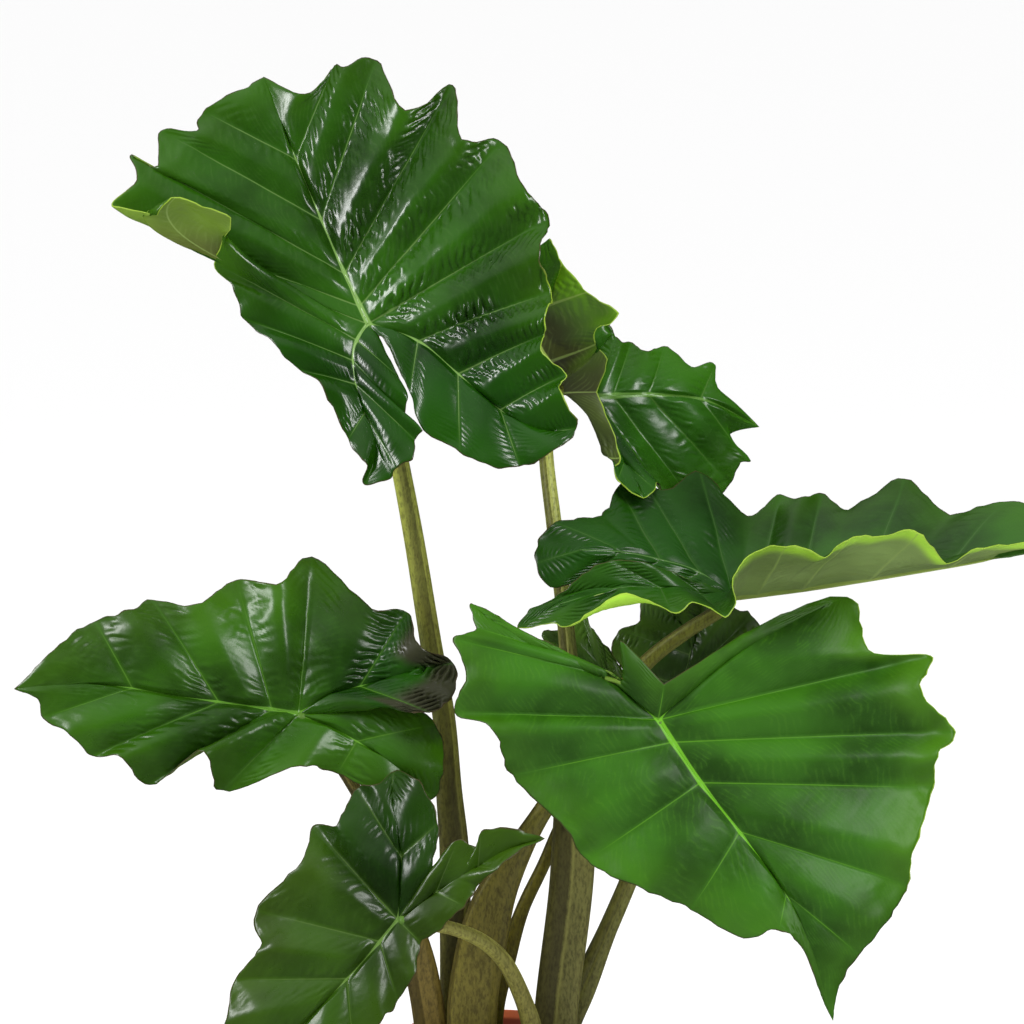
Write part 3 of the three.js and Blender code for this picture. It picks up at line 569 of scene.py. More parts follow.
def relief(points, t, rib_width, hand, crinkled):
    """Adds the small waves of a side, and measures in millimetres what its material needs at each point."""
    walked, away, outward, pitch = measured_veins(points, t)
    chevron = outward - CHEVRON_SLANT * away + CHEVRON_SKEW * walked
    fade = smooth(ACROSS, 0.02, 0.12)[None] * smooth(pitch, NARROW, ROOMY)
    fade *= np.minimum(1, np.minimum(np.arange(len(t)), np.arange(len(t))[::-1]) / COLUMNS_A_KNOT)[:, None]
    beside_vein = np.sin(np.pi * np.clip(away / pitch * 2.6, 0, 1))
    patchy = np.clip(PATCH_MIDDLE + PATCH_SWING * waves(points, PATCH_PITCH, 5), 0.2, 1.5)
    wander = 1.3 * waves(points, WANDER_PITCHES[0], 6) + 0.7 * waves(points, WANDER_PITCHES[1], 11)
    crinkle = np.sin(2 * np.pi * chevron / CRINKLE_PITCH + wander) * beside_vein * patchy
    ruffle = waves(points, RUFFLE_PITCH, 7) * (ACROSS**RUFFLE_START)[None]
    height = LUMP_HEIGHT * waves(points, LUMP_PITCH, 8) * np.minimum(1, 2 * crinkled)
    height += DIMPLE_HEIGHT * waves(points, DIMPLE_PITCH, 9) * np.minimum(1, 3 * crinkled)
    height += CRINKLE_HEIGHT * crinkled * crinkle + RUFFLE_HEIGHT * ruffle
    points = points + upward(points, hand) * (height * fade)[..., None]
    nibble = waves(points, NIBBLE_PITCH, 10) * (ACROSS**NIBBLE_START)[None] * fade
    points = points + unit(np.gradient(points, axis=1)) * (NIBBLE_HEIGHT * nibble)[..., None]
    vein_width = VEIN_HALF_WIDTH * (1 - VEIN_TAPER * ACROSS)[None]
    return {
        "points": points,
        "rib": outward / np.maximum(rib_width, THINNEST_RIB),
        "rib_size": rib_width * np.ones_like(away),
        "vein": away / vein_width,
        "second": chevron,
        "edge": outward[:, -1:] - outward,
        "share": np.ones_like(away) * ACROSS[None],
    }


SHADED = "rib", "vein", "second", "edge", "pale", "deeper", "share"
MEASURES = (*SHADED, "rib_size")
# Corners that are this close become one
WELD = 0.02


def blade_sheet(leaf):
    """Both sides of a leaf as one sheet: corners at one place become one."""
    points, quads, measured, offset = [], [], {m: [] for m in MEASURES}, 0
    for side, hand in (("left", 1), ("right", -1)):
        made = side_columns(leaf, leaf[side], hand)
        columns, rows = made["points"].shape[:2]
        ids = offset + np.arange(columns * rows).reshape(columns, rows)
        faces = np.stack([ids[:-1, :-1], ids[:-1, 1:], ids[1:, 1:], ids[1:, :-1]], axis=-1).reshape(-1, 4)
        quads.append(faces if hand > 0 else faces[:, ::-1])
        points.append(made["points"].reshape(-1, 3))
        for m in MEASURES:
            measured[m].append(made[m].reshape(-1))
        offset += columns * rows
    points, quads = np.vstack(points), np.vstack(quads)
    measured = {m: np.concatenate(values) for m, values in measured.items()}
    keys = np.round(points / WELD).astype(np.int64)
    _, first, same = np.unique(keys, axis=0, return_index=True, return_inverse=True)
    return points[first], same.reshape(-1)[quads], {m: values[first] for m, values in measured.items()}


def triangles_of(quads):
    """Two triangles a quad, without those whose corners have met."""
    halves = np.vstack([quads[:, [0, 1, 2]], quads[:, [0, 2, 3]]])
    a, b, c = halves.T
    return halves[(a != b) & (b != c) & (a != c)]


def normals_of(points, triangles):
    a, b, c = (points[triangles[:, k]] for k in range(3))
    facing = np.cross(b - a, c - a)
    total = np.zeros_like(points)
    for k in range(3):
        np.add.at(total, triangles[:, k], facing)
    return unit(total)


def capped_tube(rings, low_end, high_end):
    """Points and triangles of a tube through equal rings, closed by a fan of triangles at each end."""
    rows, sides = rings.shape[:2]
    points = np.vstack([rings.reshape(-1, 3), low_end, high_end])
    ids = np.arange(rows * sides).reshape(rows, sides)
    after = np.roll(ids, -1, axis=1)
    walls = np.stack([ids[:-1], after[:-1], after[1:], ids[1:]], axis=-1).reshape(-1, 4)
    low = np.stack([np.full(sides, rows * sides), after[0], ids[0]], axis=1)
    high = np.stack([np.full(sides, rows * sides + 1), ids[-1], after[-1]], axis=1)
    return points, np.vstack([triangles_of(walls), low, high])


EDGE_THINNING, EDGE_WIDTH = 0.45, 3
# How far ribs and veins stand out above and below, the keel of a rib as a share of its width
RIB_RISE, RIB_KEEL = 0.9, 0.85
VEIN_SINK, VEIN_KEEL = 0.35, 1.1


def blade_piece(leaf, material):
    points, quads, measured = blade_sheet(leaf)
    triangles = triangles_of(quads)
    normals = normals_of(points, triangles)
    half = BLADE_THICKNESS / 2 * (1 - EDGE_THINNING * smooth(-measured["edge"], -EDGE_WIDTH, 0))
    crest = np.exp(-0.9 * measured["rib"] ** 2)
    vein = np.exp(-0.8 * measured["vein"] ** 2) * (1 - 0.75 * measured["share"])
    above = half + RIB_RISE * crest * measured["rib_size"] / RIB_HALF_WIDTH - VEIN_SINK * vein * (1 - crest)
    below = half + RIB_KEEL * crest * measured["rib_size"] + VEIN_KEEL * vein * (1 - crest)
    count = len(points)
    both = np.vstack([points + normals * above[:, None], points - normals * below[:, None]])
    edges = np.vstack([triangles[:, [0, 1]], triangles[:, [1, 2]], triangles[:, [2, 0]]])
    code = edges[:, 0].astype(np.int64) * count + edges[:, 1]
    back = edges[:, 1].astype(np.int64) * count + edges[:, 0]
    a, b = edges[~np.isin(code, back)].T
    rim = np.stack([a, count + a, b], axis=1), np.stack([b, count + a, count + b], axis=1)
    faces = np.vstack([triangles, triangles[:, ::-1] + count, *rim])
    piece = mesh_piece(leaf["name"] + "_dressed", both, faces, material)
    for m in SHADED:
        add_measure(piece, m, np.concatenate([measured[m]] * 2))
    add_measure(piece, "under", np.repeat([0, 1], count))
    stand_for(piece, leaf["name"] + "_blade")
    return piece


# Pieces

def mesh_piece(name, points, faces, material):
    """A smooth-shaded mesh from points in millimetres."""
    mesh = bpy.data.meshes.new(name)
    mesh.from_pydata((points * METRE).tolist(), [], faces.tolist())
    mesh.validate()
    mesh.shade_smooth()
    mesh.materials.append(material)
    piece = bpy.data.objects.new(name, mesh)
    bpy.context.scene.collection.objects.link(piece)
    return piece


def add_measure(piece, name, values):
    attribute = piece.data.attributes.new(name, "FLOAT", "POINT")
    attribute.data.foreach_set("value", np.asarray(values, np.float32))


def stand_for(piece, node):
    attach(piece, "root")
    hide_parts(node)


# The stalks

STALK_SIDES = 72
STALK_STEPS = 130
GROOVE_DEPTH, GROOVE_WIDTH = 0.05, 0.12
WRAP_STEP, WRAP_FADE = 0.045, (1.2, 2.4)
FLUTES, FLUTE_DEPTH = 9, 0.012
STALK_TIP = 0.6


def even_along(points, count):
    """Shares of a curve's own run that lie at even distances along it."""
    fine = np.linspace(0, 1, 2000)
    steps = np.linalg.norm(np.diff(curve_at(points, fine), axis=0), axis=1)
    walked = np.concatenate([[0], np.cumsum(steps)])
    return np.interp(np.linspace(0, walked[-1], count), walked, fine), walked[-1]


def stalk_piece(stalk, leaf, material):
    way = [seen(*p) for p in stalk["way"]] + [seen(*leaf["hub"])]
    t, length = even_along(way, STALK_STEPS)
    centre = curve_at(way, t)
    along = unit(np.gradient(centre, axis=0))
    side = unit(np.cross(np.array([0.0, -1, 0]), along))
    front = unit(np.cross(along, side))
    share = np.linspace(0, 1, STALK_STEPS)
    ease = smooth(share, *stalk["sheath"])
    bare = 1 + STALK_TAPER * (1 - share)
    wide, deep = (stalk["foot"][k] * (1 - ease) + stalk["top"][k] * bare * ease for k in (0, 1))
    channel = CHANNEL_DEPTH * (1 - ease)
    angle = np.arange(STALK_SIDES) / STALK_SIDES * 2 * np.pi
    dent = 1 - channel[:, None] * np.exp(-(((angle - np.pi / 2) / CHANNEL_WIDTH) ** 2))[None]
    seam = angle - stalk["seam"]
    wrap = smooth(seam, -0.05, 0.05) * (1 - smooth(seam, *WRAP_FADE))
    groove = GROOVE_DEPTH * np.exp(-((seam / GROOVE_WIDTH) ** 2))
    flute = FLUTE_DEPTH * np.sin(FLUTES * angle + 2 * np.sin(3 * angle))
    flute = 1 + flute - groove + WRAP_STEP * wrap
    x = np.cos(angle)[None] * wide[:, None] / 2 * flute
    y = np.sin(angle)[None] * dent * deep[:, None] / 2 * flute
    points = centre[:, None] + side[:, None] * x[..., None] + front[:, None] * y[..., None]
    points[-1] = centre[-1] + (points[-1] - centre[-1]) * STALK_TIP
    piece = mesh_piece(stalk["name"] + "_dressed", *capped_tube(points, centre[0], centre[-1]), material)
    rows, sides = np.ones((STALK_STEPS, 1)), np.ones((1, STALK_SIDES))
    for name, values in (
        ("height", share[:, None] * length * sides),
        ("share", share[:, None] * sides),
        ("around", np.cos(angle) * rows),
        ("facing", np.sin(angle) * rows),
        ("seam", seam * rows),
    ):
        add_measure(piece, name, np.concatenate([values.reshape(-1), values[[0, -1], 0]]))
    stand_for(piece, stalk["name"])
    return piece


# The pot and the soil

POT_HEIGHT = 190
POT_TOP = 101
POT_FOOT = 74
POT_WALL = 2.2
RIM_HEIGHT = 22
POT_SIDES = 144
LIP_RADIUS = 1.5
FOOT_RADIUS = 3
BAND = POT_HEIGHT - RIM_HEIGHT
POT_FLOOR = 3
INNER_FOOT = POT_FOOT - POT_WALL
INNER_TOP = POT_TOP - 5.8


def pot_profile():
    """Radius and height from the middle of the underside up the outside, over the lip and down inside."""
    lip_centre = POT_TOP + 0.7, POT_HEIGHT - LIP_RADIUS
    lip = [
        (lip_centre[0] + LIP_RADIUS * math.cos(a), lip_centre[1] + LIP_RADIUS * math.sin(a))
        for a in np.linspace(0, math.pi, 9)
    ]
    foot = [
        (POT_FOOT - FOOT_RADIUS + FOOT_RADIUS * math.sin(a), FOOT_RADIUS - FOOT_RADIUS * math.cos(a))
        for a in np.linspace(0, math.pi / 2, 6)
    ]
    return [
        (0, 0), (30, 0), (POT_FOOT - 8, 0), *foot,
        *[
            (POT_FOOT + (POT_TOP - 3 - POT_FOOT) * k / 12, FOOT_RADIUS + (BAND - FOOT_RADIUS) * k / 12)
            for k in range(1, 12)
        ],
        (POT_TOP - 3.2, BAND - 0.6), (POT_TOP - 2.6, BAND), (POT_TOP - 1.2, BAND + 0.7),
        (POT_TOP - 0.8, BAND + 1.6), (POT_TOP - 0.6, BAND + 4), (POT_TOP + 0.6, POT_HEIGHT - 8),
        (POT_TOP + 1.2, POT_HEIGHT - 4.5), *lip,
        (POT_TOP - 1.6, POT_HEIGHT - 3), (POT_TOP - 2.4, POT_HEIGHT - 8), (INNER_TOP, BAND - 1),
        (INNER_FOOT, POT_FLOOR + 3), (INNER_FOOT - 3, POT_FLOOR), (30, POT_FLOOR), (0, POT_FLOOR),
    ]


def lathe(profile, sides):
    """Points and triangles of a turned body whose profile starts and ends on the axis."""
    angle = np.arange(sides) / sides * 2 * np.pi
    x, y = np.cos(angle), np.sin(angle)
    rings = [np.stack([r * x, r * y, np.full(sides, z)], axis=1) for r, z in profile[1:-1]]
    return capped_tube(np.array(rings), [0, 0, profile[0][1]], [0, 0, profile[-1][1]])


def pot_piece(material):
    points, faces = lathe(pot_profile(), POT_SIDES)
    piece = mesh_piece("pot_dressed", points, faces, material)
    cut_drain_holes(piece)
    piece.data.set_sharp_from_angle(angle=math.radians(35))
    stand_for(piece, "pot")
    return piece


DRAIN_HOLES = 8
DRAIN_RADIUS = 6
DRAIN_RING = 54


def cut_drain_holes(piece):
    drills = []
    for k in range(DRAIN_HOLES):
        turn = k / DRAIN_HOLES * 2 * math.pi
        points, faces = lathe([(0, -6), (DRAIN_RADIUS, -6), (DRAIN_RADIUS, 9), (0, 9)], 28)
        points = points + [DRAIN_RING * math.cos(turn), DRAIN_RING * math.sin(turn), 0]
        drills.append((points, faces + sum(len(p) for p, _ in drills)))
    points, faces = np.vstack([p for p, _ in drills]), np.vstack([f for _, f in drills])
    drill = mesh_piece("drill", points, faces, piece.data.materials[0])
    cut = piece.modifiers.new("drains", "BOOLEAN")
    cut.operation, cut.solver, cut.object = "DIFFERENCE", "EXACT", drill
    with bpy.context.temp_override(object=piece, active_object=piece):
        bpy.ops.object.modifier_apply(modifier=cut.name)
    bpy.data.objects.remove(drill)


SOIL_FOOT = 3.4
SOIL_CLEAR = 0.8
SOIL_TOP = 166
SOIL_MOUND = 5
SOIL_LUMP = 1.6
SOIL_RINGS = 90
SOIL_SIDES = 260


def soil_piece(material):
    """A mounded plug of peat with a crumbly top."""
    low, high = POT_FLOOR + 3, BAND - 1

    def inside(z):
        return INNER_FOOT + (INNER_TOP - INNER_FOOT) * (z - low) / (high - low) - SOIL_CLEAR

    edge = inside(SOIL_TOP)
    angle = np.arange(SOIL_SIDES) / SOIL_SIDES * 2 * np.pi
    level = np.ones(SOIL_SIDES)
    rings = [(inside(low) - 3.2, SOIL_FOOT * level), (inside(low), low * level)]
    rings.append((edge, (SOIL_TOP - 1) * level))
    for k in range(SOIL_RINGS):
        share = 1 - k / SOIL_RINGS
        radius = edge * share
        lumps = np.sin(3 * angle + radius * 0.11) + np.cos(5 * angle - radius * 0.07)
        rise = SOIL_MOUND * (1 - share**2) + SOIL_LUMP * lumps * min(1, 4 * (1 - share)) * min(1, 3 * share)
        crumb = crumbs(radius * np.cos(angle), radius * np.sin(angle)) * min(1, 12 * (1 - share) + 0.3)
        rings.append((radius, SOIL_TOP + rise + crumb))
    tube = np.array([np.stack([r * np.cos(angle), r * np.sin(angle), z], axis=1) for r, z in rings])
    crown = [0, 0, rings[-1][1].mean()]
    piece = mesh_piece("soil_dressed", *capped_tube(tube, [0, 0, SOIL_FOOT], crown), material)
    stand_for(piece, "soil")
    return piece


def crumbs(x, y):
    """Small heights for loose peat, from a few crossed waves."""
    total = np.zeros_like(x)
    for k, (pitch, height) in enumerate(((19, 0.9), (11, 0.8), (6.3, 0.7), (3.9, 0.45))):
        turn = 1.1 * k + 0.4
        a = (x * math.cos(turn) + y * math.sin(turn)) / pitch * 2 * math.pi
        b = (y * math.cos(turn) - x * math.sin(turn)) / pitch * 2 * math.pi
        total += height * np.sin(a + 1.7 * np.sin(b * 0.61 + k)) * np.sin(b + 1.9 * np.sin(a * 0.53 - k))
    return total


# Materials

class Shade:
    """A material's nodes around one Principled shader."""

    def __init__(self, name, **constants):
        self.material = bpy.data.materials.new(name)
        self.material.use_nodes = True
        self.tree = self.material.node_tree
        self.shader = self.tree.nodes["Principled BSDF"]
        for socket, value in constants.items():
            self.shader.inputs[socket.replace("_", " ")].default_value = value

    def put(self, value, socket):
        if isinstance(value, bpy.types.NodeSocket):
            self.tree.links.new(value, socket)
        elif isinstance(value, (tuple, list)) and len(value) == 3 and socket.type == "RGBA":
            socket.default_value = (*value, 1)
        else:
            socket.default_value = value

    def node(self, kind, output=0, settings=(), **sockets):
        made = self.tree.nodes.new("ShaderNode" + kind)
        for name, value in dict(settings).items():
            setattr(made, name, value)
        for name, value in sockets.items():
            self.put(value, made.inputs[int(name[1:]) if name[0] == "i" and name[1:].isdigit() else name])
        return made.outputs[output]

    def measure(self, name):
        return self.node("Attribute", "Fac", {"attribute_name": name})

    def math(self, operation, a, b=0.0, c=0.0):
        return self.node("Math", 0, {"operation": operation}, i0=a, i1=b, i2=c)

    def times(self, a, b):
        return self.math("MULTIPLY", a, b)

    def plus(self, a, b):
        return self.math("ADD", a, b)

    def step(self, value, low, high):
        """0 at low, 1 at high, and an S between them; low may be the larger."""
        limits = {"i1": min(low, high), "i2": max(low, high)}
        f = self.node("MapRange", 0, {"interpolation_type": "SMOOTHSTEP"}, Value=value, **limits)
        return self.math("SUBTRACT", 1.0, f) if low > high else f

    def mix(self, share, a, b, blend="MIX"):
        made = self.tree.nodes.new("ShaderNodeMix")
        made.data_type, made.blend_type = "RGBA", blend
        for value, socket in ((share, made.inputs[0]), (a, made.inputs[6]), (b, made.inputs[7])):
            self.put(value, socket)
        return made.outputs[2]

    def tinted(self, a, b):
        return self.mix(1.0, a, b, "MULTIPLY")

    def cover(self, under, colour, where, strength):
        """A colour laid over another where a mask is, at a strength."""
        return self.mix(self.times(where, strength), under, colour)

    def noise(self, vector, scale, detail=2.0, roughness=0.5, stretch=None):
        if stretch is not None:
            vector = self.node("VectorMath", 0, {"operation": "MULTIPLY"}, i0=vector, i1=stretch)
        return self.node("TexNoise", 0, Vector=vector, Scale=scale, Detail=detail, Roughness=roughness)

    def place(self):
        return self.node("TexCoord", "Object")

    def bump(self, height, strength, distance):
        made = self.node("Bump", 0, Strength=strength, Distance=distance, Height=height)
        self.put(made, self.shader.inputs["Normal"])

    def finish(self, colour, roughness):
        self.put(colour, self.shader.inputs["Base Color"])
        self.put(roughness, self.shader.inputs["Roughness"])
        return self.material


LEAF_ROUGHNESS = 0.17
SECOND_VEIN_PITCH = 7.5
VEIN_BELOW = (0.22, 0.32, 0.07)
RIB_BELOW = (0.26, 0.36, 0.06)
RIM_BROWN = (0.045, 0.03, 0.012)
RIM_GREEN = (0.30, 0.45, 0.04)
# How much redder, greener and bluer a blade is by its margin
FRESHER = (2.6, 1.9, 0.9)
# The tint that full painted shade gives a blade's lobes
FULL_PAINTED_SHADE = (0.35, 0.6, 0.3)
BLOTCH_DARK, BLOTCH_PALE = (0.75, 0.75, 0.75), (1.25, 1.25, 1.25)
WITHERED = (0.026, 0.028, 0.013)
# Each leaf above; below near its margin, paler with painted light shining through; below further in, darker
# with painted shade; on its ribs; and how satin it is
LEAF_LOOKS = {
    "leaf_1": ((0.0125, 0.054, 0.0016), (0.11, 0.2, 0.008), (0.08, 0.11, 0.008), (0.16, 0.29, 0.07), 0.0),
    "leaf_2": ((0.014, 0.069, 0.0016), (0.09, 0.23, 0.004), (0.045, 0.055, 0.01), (0.09, 0.21, 0.03), 0.2),
    "leaf_3": ((0.015, 0.06, 0.003), (0.3, 0.56, 0.025), (0.15, 0.23, 0.055), (0.06, 0.14, 0.03), 0.4),
    "leaf_4": ((0.0185, 0.08, 0.002), (0.12, 0.22, 0.02), (0.1, 0.18, 0.02), (0.11, 0.33, 0.012), 1.0),
    "leaf_5": ((0.017, 0.064, 0.0016), (0.12, 0.2, 0.025), (0.12, 0.16, 0.03), (0.09, 0.23, 0.02), 0.3),
    "leaf_6": ((0.017, 0.046, 0.002), (0.16, 0.24, 0.06), (0.15, 0.2, 0.05), (0.09, 0.17, 0.03), 0.3),
    "leaf_7": ((0.032, 0.08, 0.011), (0.1, 0.16, 0.02), (0.1, 0.14, 0.02), (0.15, 0.24, 0.08), 0.4),
}


def leaf_material(name, looks, glow_reach):
    """Dark and glossy above with pale veins, a thin rim and painted shade on some lobes, and duller olive
    green below: paler by the margin with painted light shining through, and darker further in with painted
    shade.
    """
    tint, below, shaded_inner_below, rib_colour, satin = looks
    vein_colour = tuple(0.65 * c for c in rib_colour)
    shade = Shade(name, Specular_IOR_Level=0.5 - 0.2 * satin)
    place = shade.place()
    step, times, plus, mix = shade.step, shade.times, shade.plus, shade.mix
    cover, measure, noise = shade.cover, shade.measure, shade.noise
    patches = noise(place, 8, 3)
    mottle = noise(place, 60, 4, 0.6)
    fine = noise(place, 300, 3, 0.6)
    drift = times(noise(place, 26, 3), 26.0)
    second = plus(measure("second"), drift)
    wave = shade.math("SINE", times(second, 2 * math.pi / SECOND_VEIN_PITCH))
    net = times(step(wave, 0.2, 1.0), step(mottle, 0.4, 0.65))
    under = step(measure("under"), 0.4, 0.6)
    vein, rib, share = measure("vein"), measure("rib"), measure("share")
    edge, pale = measure("edge"), measure("pale")
    rim = mix(pale, RIM_BROWN, RIM_GREEN)
    deep, bright = tuple(0.6 * c for c in tint), tuple(1.55 * c for c in tint)

    top = mix(step(patches, 0.36, 0.66), deep, bright)
    top = cover(top, bright, step(mottle, 0.4, 0.75), 0.25)
    top = cover(top, vein_colour, net, 0.06 + 0.08 * satin)
    fresh = times(step(edge, 60.0, 3.0), shade.math("MULTIPLY_ADD", pale, 0.45, 0.3))
    top = mix(fresh, top, tuple(c * k for c, k in zip(tint, FRESHER)))
    # Painted shade darkens the listed parts of the upper face; above 1 the outer part withers
    deeper = measure("deeper")
    top = shade.tinted(top, mix(step(deeper, 0.0, 1.0), (1, 1, 1), FULL_PAINTED_SHADE))
    withered = times(step(deeper, 1.1, 1.7), step(share, 0.3, 0.62))
    top = mix(withered, top, WITHERED)
    top = cover(top, bright, step(vein, 5.0, 0.8), 0.3)
    line = times(step(vein, 1.0, 0.3), step(share, 1.0, 0.55))
    top = cover(top, vein_colour, line, 0.75)
    top = mix(step(rib, 1.15, 0.75), top, rib_colour)
    top = cover(top, rim, step(edge, 1.3, 0.5), 0.8)

    # Painted light and shade below: paler near the margin as if lit through the blade, darker further in, and
    # only the darker colour where the painted shade is full or the leaf withers
    outer = times(step(edge, glow_reach, glow_reach / 4), step(deeper, 1.0, 0.5))
    low = mix(outer, shaded_inner_below, below)
    low = shade.tinted(low, mix(step(patches, 0.3, 0.7), BLOTCH_DARK, BLOTCH_PALE))
    low = cover(low, VEIN_BELOW, net, 0.15)
    low = cover(low, VEIN_BELOW, step(vein, 1.8, 0.6), 0.6)
    low = mix(step(rib, 1.7, 1.1), low, RIB_BELOW)
    low = cover(low, rim, step(edge, 1.6, 0.7), 0.8)

    polish = shade.math("MULTIPLY_ADD", mottle, 0.12, LEAF_ROUGHNESS + 0.2 * satin)
    roughness = plus(polish, times(under, 0.25))
    grain = plus(plus(times(wave, 0.05), times(fine, 0.25)), times(mottle, 0.9))
    shade.bump(grain, 0.3, 0.0008)
    return shade.finish(mix(under, top, low), roughness)


STREAK_BROWN = (0.032, 0.024, 0.005)
STALK_END = (0.07, 0.15, 0.02)
# Each stalk at its foot and at its leaf, how dark it is before its seam, and how pale the ridge after it is
STALK_LOOKS = {
    "stalk_1": ((0.135, 0.130, 0.026), (0.38, 0.43, 0.060), 0.6, 0.5),
    "stalk_2": ((0.175, 0.170, 0.042), (0.34, 0.38, 0.080), 0.65, 0.5),
    "stalk_3": ((0.140, 0.120, 0.018), (0.18, 0.19, 0.030), 0.5, 0.0),
    "stalk_4": ((0.150, 0.152, 0.034), (0.26, 0.26, 0.040), 0.2, 0.3),
    "stalk_5": ((0.150, 0.110, 0.022), (0.20, 0.17, 0.040), 0.6, 0.2),
    "stalk_6": ((0.200, 0.190, 0.040), (0.24, 0.24, 0.050), 0.3, 0.0),
    "stalk_7": ((0.150, 0.130, 0.010), (0.18, 0.17, 0.018), 0.5, 0.1),
}


def stalk_material(name, looks):
    """Fleshy olive with fine brown flecks, greener towards the leaf and darker before its seam."""
    low, high, hidden, ridge = looks
    shade = Shade(name, Specular_IOR_Level=0.3)
    place = shade.place()
    step, times, mix, cover = shade.step, shade.times, shade.mix, shade.cover
    measure, noise = shade.measure, shade.noise
    height = times(measure("height"), 0.006)
    grain = shade.node("CombineXYZ", X=measure("around"), Y=measure("facing"), Z=height)
    streaks = noise(grain, 4, 4, 0.6)
    flecks = noise(place, 420, 2, 0.6, (1, 1, 0.4))
    blots = noise(place, 150, 3, 0.6, (1, 1, 0.5))
    colour = mix(step(measure("share"), 0.3, 0.95), low, high)
    colour = cover(colour, STREAK_BROWN, step(streaks, 0.46, 0.66), 0.35)
    colour = cover(colour, STREAK_BROWN, step(blots, 0.5, 0.68), 0.25)
    colour = cover(colour, STREAK_BROWN, step(flecks, 0.46, 0.66), 0.45)
    pale = times(step(flecks, 0.44, 0.32), 0.35)
    colour = mix(pale, colour, tuple(1.4 * c for c in low))
    seam = measure("seam")
    before = times(step(seam, 0.03, -0.08), step(seam, -1.7, -0.5))
    colour = cover(colour, STREAK_BROWN, before, hidden)
    beside = times(step(seam, 0.02, 0.07), step(seam, 0.2, 0.1))
    colour = cover(colour, tuple(1.6 * c for c in low), beside, ridge)
    colour = mix(step(measure("share"), 0.97, 0.985), colour, STALK_END)
    shade.bump(shade.plus(blots, times(flecks, 0.6)), 0.3, 0.0006)
    return shade.finish(colour, 0.42)


TERRACOTTA, TERRACOTTA_PALE = (0.64, 0.14, 0.045), (0.78, 0.19, 0.07)
DUST = (0.3, 0.2, 0.14)
# Painted shade on the pot's inner wall just below the lip
RIM_INNER_SHADE = (0.12, 0.012, 0.008)


def pot_material():
    """Plastic in two tones of terracotta, dusty at the foot, with painted shade darkening the inner wall
    below the lip.
    """
    shade = Shade("terracotta_plastic", Specular_IOR_Level=0.4)
    place = shade.place()
    step, times, noise = shade.step, shade.times, shade.noise
    mottle = noise(place, 14, 4, 0.6)
    grain = noise(place, 900, 2, 0.5)
    rings = noise(place, 30, 3, 0.5, (0.1, 0.1, 6))
    colour = shade.mix(step(mottle, 0.3, 0.75), TERRACOTTA, TERRACOTTA_PALE)
    height = shade.node("SeparateXYZ", "Z", Vector=place)
    dust = times(step(height, 0.03, 0.0), step(mottle, 0.4, 0.6))
    colour = shade.cover(colour, DUST, dust, 0.5)
    flat = shade.node("VectorMath", 0, {"operation": "MULTIPLY"}, i0=place, i1=(1, 1, 0))
    away = shade.node("VectorMath", 1, {"operation": "LENGTH"}, i0=flat)
    # Painted shade: the inner wall between the lip and the soil is darkened
    rim_shade_band = times(step(height, 0.184, 0.18), step(height, 0.16, 0.168))
    inside = times(rim_shade_band, step(away, 0.0995, 0.0985))
    colour = shade.cover(colour, RIM_INNER_SHADE, inside, 0.8)
    shade.bump(shade.plus(times(grain, 0.3), rings), 0.25, 0.0004)
    roughness = shade.math("MULTIPLY_ADD", mottle, 0.2, 0.38)
    return shade.finish(colour, roughness)


PEAT_DARK, PEAT_PALE, PEAT_BITS = (0.008, 0.005, 0.003), (0.05, 0.028, 0.016), (0.16, 0.1, 0.055)


def soil_material():
    shade = Shade("peat", Specular_IOR_Level=0.2)
    place = shade.place()
    clods = shade.noise(place, 160, 5, 0.7)
    bits = shade.noise(place, 420, 3, 0.7)
    colour = shade.mix(shade.step(clods, 0.35, 0.7), PEAT_DARK, PEAT_PALE)
    colour = shade.mix(shade.step(bits, 0.66, 0.74), colour, PEAT_BITS)
    shade.bump(shade.plus(clods, shade.times(bits, 0.5)), 0.8, 0.002)
    return shade.finish(colour, 0.95)


# The plant

def build_plant():
    for leaf, stalk in zip(LEAVES, STALKS):
        name, stalk_name = leaf["name"], stalk["name"]
        blade_piece(leaf, leaf_material(name, LEAF_LOOKS[name], LIT_THROUGH_BELOW.get(name, LIT_THROUGH_REACH)))
        stalk_piece(stalk, leaf, stalk_material(stalk_name, STALK_LOOKS[stalk_name]))
    pot_piece(pot_material())
    soil_piece(soil_material())


# The stage, the lights and the camera

FLOOR_REACH = 150000


def lay_floor():
    corners = np.array([(-1, -1, 0), (1, -1, 0), (1, 1, 0), (-1, 1, 0)]) * FLOOR_REACH
    material = Shade("pale_floor", Specular_IOR_Level=0.1).finish((0.9, 0.9, 0.9), 0.9)
    floor = mesh_piece("floor", corners, np.array([[0, 1, 2, 3]]), material)
    floor.visible_glossy = False


def add_light(name, kind, energy, place, aim, **settings):
    data = bpy.data.lights.new(name, kind)
    data.energy = energy
    for key, value in settings.items():
        setattr(data, key, value)
    light = bpy.data.objects.new(name, data)
    light.location = place
    light.rotation_euler = (Vector(aim) - Vector(place)).to_track_quat("-Z", "Y").to_euler()
    bpy.context.scene.collection.objects.link(light)
    return light


ROOM_SOFT = 0.5
ROOM_GLOSS = 0.03
CEILING_GLOSS = 0.7
CEILING_RIGHT_SHARE = 0.45


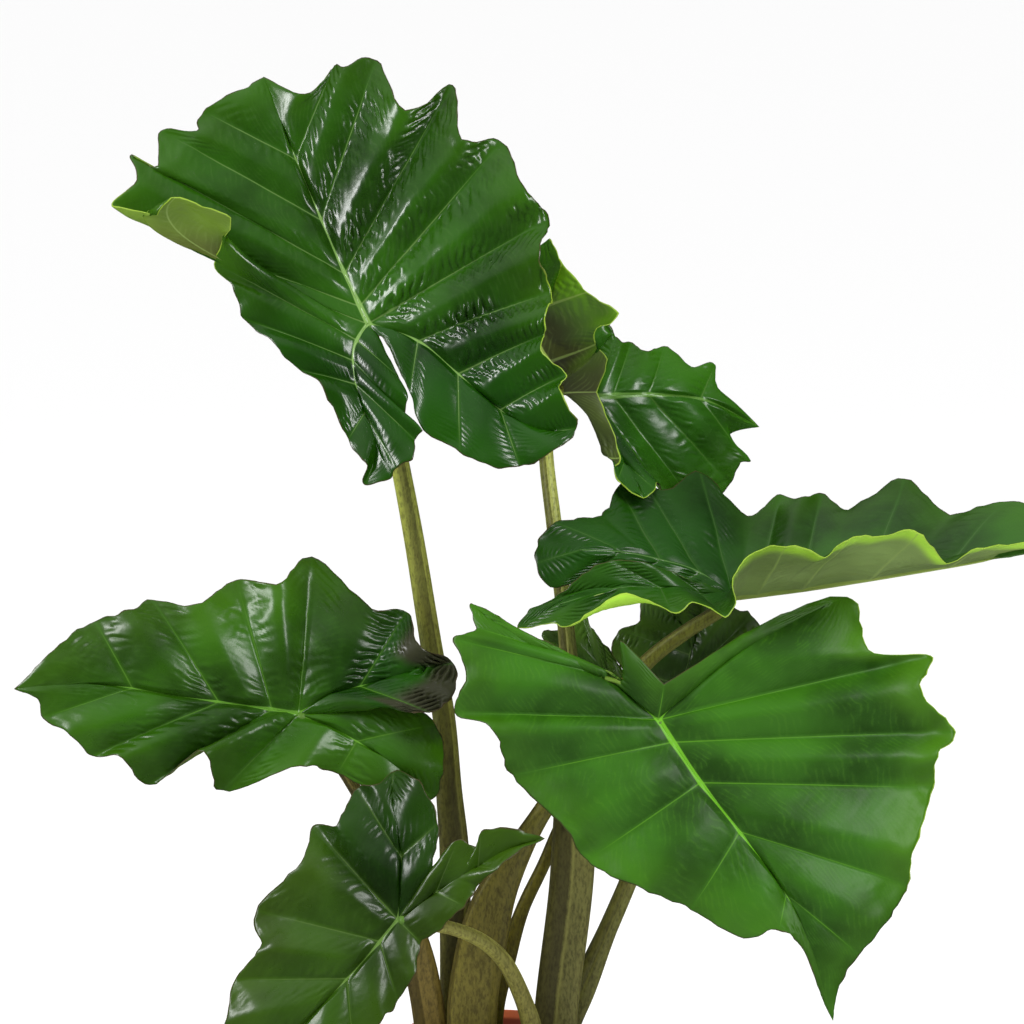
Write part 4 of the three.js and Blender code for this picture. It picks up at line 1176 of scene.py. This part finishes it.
def light_studio():
    """A white room that shows dimmer in the gloss than it lights, a soft overhead light and two boxes."""
    world = bpy.data.worlds.new("studio")
    bpy.context.scene.world = world
    world.use_nodes = True
    nodes, links = world.node_tree.nodes, world.node_tree.links

    def linked(kind, values, sources):
        made = nodes.new("ShaderNode" + kind)
        for socket, value in values.items():
            made.inputs[socket].default_value = value
        for socket, source in sources.items():
            links.new(source, made.inputs[socket])
        return made

    room = nodes["Background"]
    room.inputs["Color"].default_value = (1, 1, 1, 1)
    way = linked("SeparateXYZ", {}, {0: nodes.new("ShaderNodeTexCoord").outputs["Generated"]})
    ceiling = {"From Min": 0.4, "From Max": 0.95, "To Min": ROOM_GLOSS, "To Max": CEILING_GLOSS}
    sideways = {"From Min": -0.3, "From Max": 0.4, "To Min": 1.0, "To Max": CEILING_RIGHT_SHARE}
    overhead = linked("MapRange", ceiling, {"Value": way.outputs["Z"]})
    leftward = linked("MapRange", sideways, {"Value": way.outputs["X"]})
    gloss = linked("Math", {}, {0: overhead.outputs["Result"], 1: leftward.outputs["Result"]})
    gloss.operation = "MULTIPLY"
    sight = nodes.new("ShaderNodeLightPath")
    strength = gloss.outputs[0]
    for ray, value in (("Is Diffuse Ray", ROOM_SOFT), ("Is Camera Ray", 1.0)):
        strength = linked("Mix", {3: value}, {0: sight.outputs[ray], 2: strength}).outputs[0]
    links.new(strength, room.inputs["Strength"])

    middle = (0.05, 0, 0.7)
    sky = add_light("sky", "SUN", 2.1, (0.3, -1.2, 3.6), (0, 0, 0.4), angle=math.radians(14))
    sky.visible_glossy = False
    box = {"shape": "RECTANGLE", "size": 0.35, "size_y": 1.0}
    add_light("right_box", "AREA", 24, (1.7, -1.5, 1.9), middle, **box)
    add_light("left_box", "AREA", 30, (-2.0, -1.2, 1.7), middle, **box)


def place_camera():
    data = bpy.data.cameras.new("camera")
    camera = bpy.data.objects.new("camera", data)
    bpy.context.scene.collection.objects.link(camera)
    bpy.context.scene.camera = camera
    camera.location = Vector(EYE.tolist()) * METRE
    camera.rotation_euler = (math.pi / 2 - LOOK_DOWN, 0, 0)
    data.sensor_width = 36
    data.lens = data.sensor_width * -EYE[1] / math.cos(LOOK_DOWN) / PICTURE_SIZE
    data.clip_end = 400


place_camera()
light_studio()
lay_floor()
build_plant()
bpy.context.scene.view_settings.view_transform = "Standard"
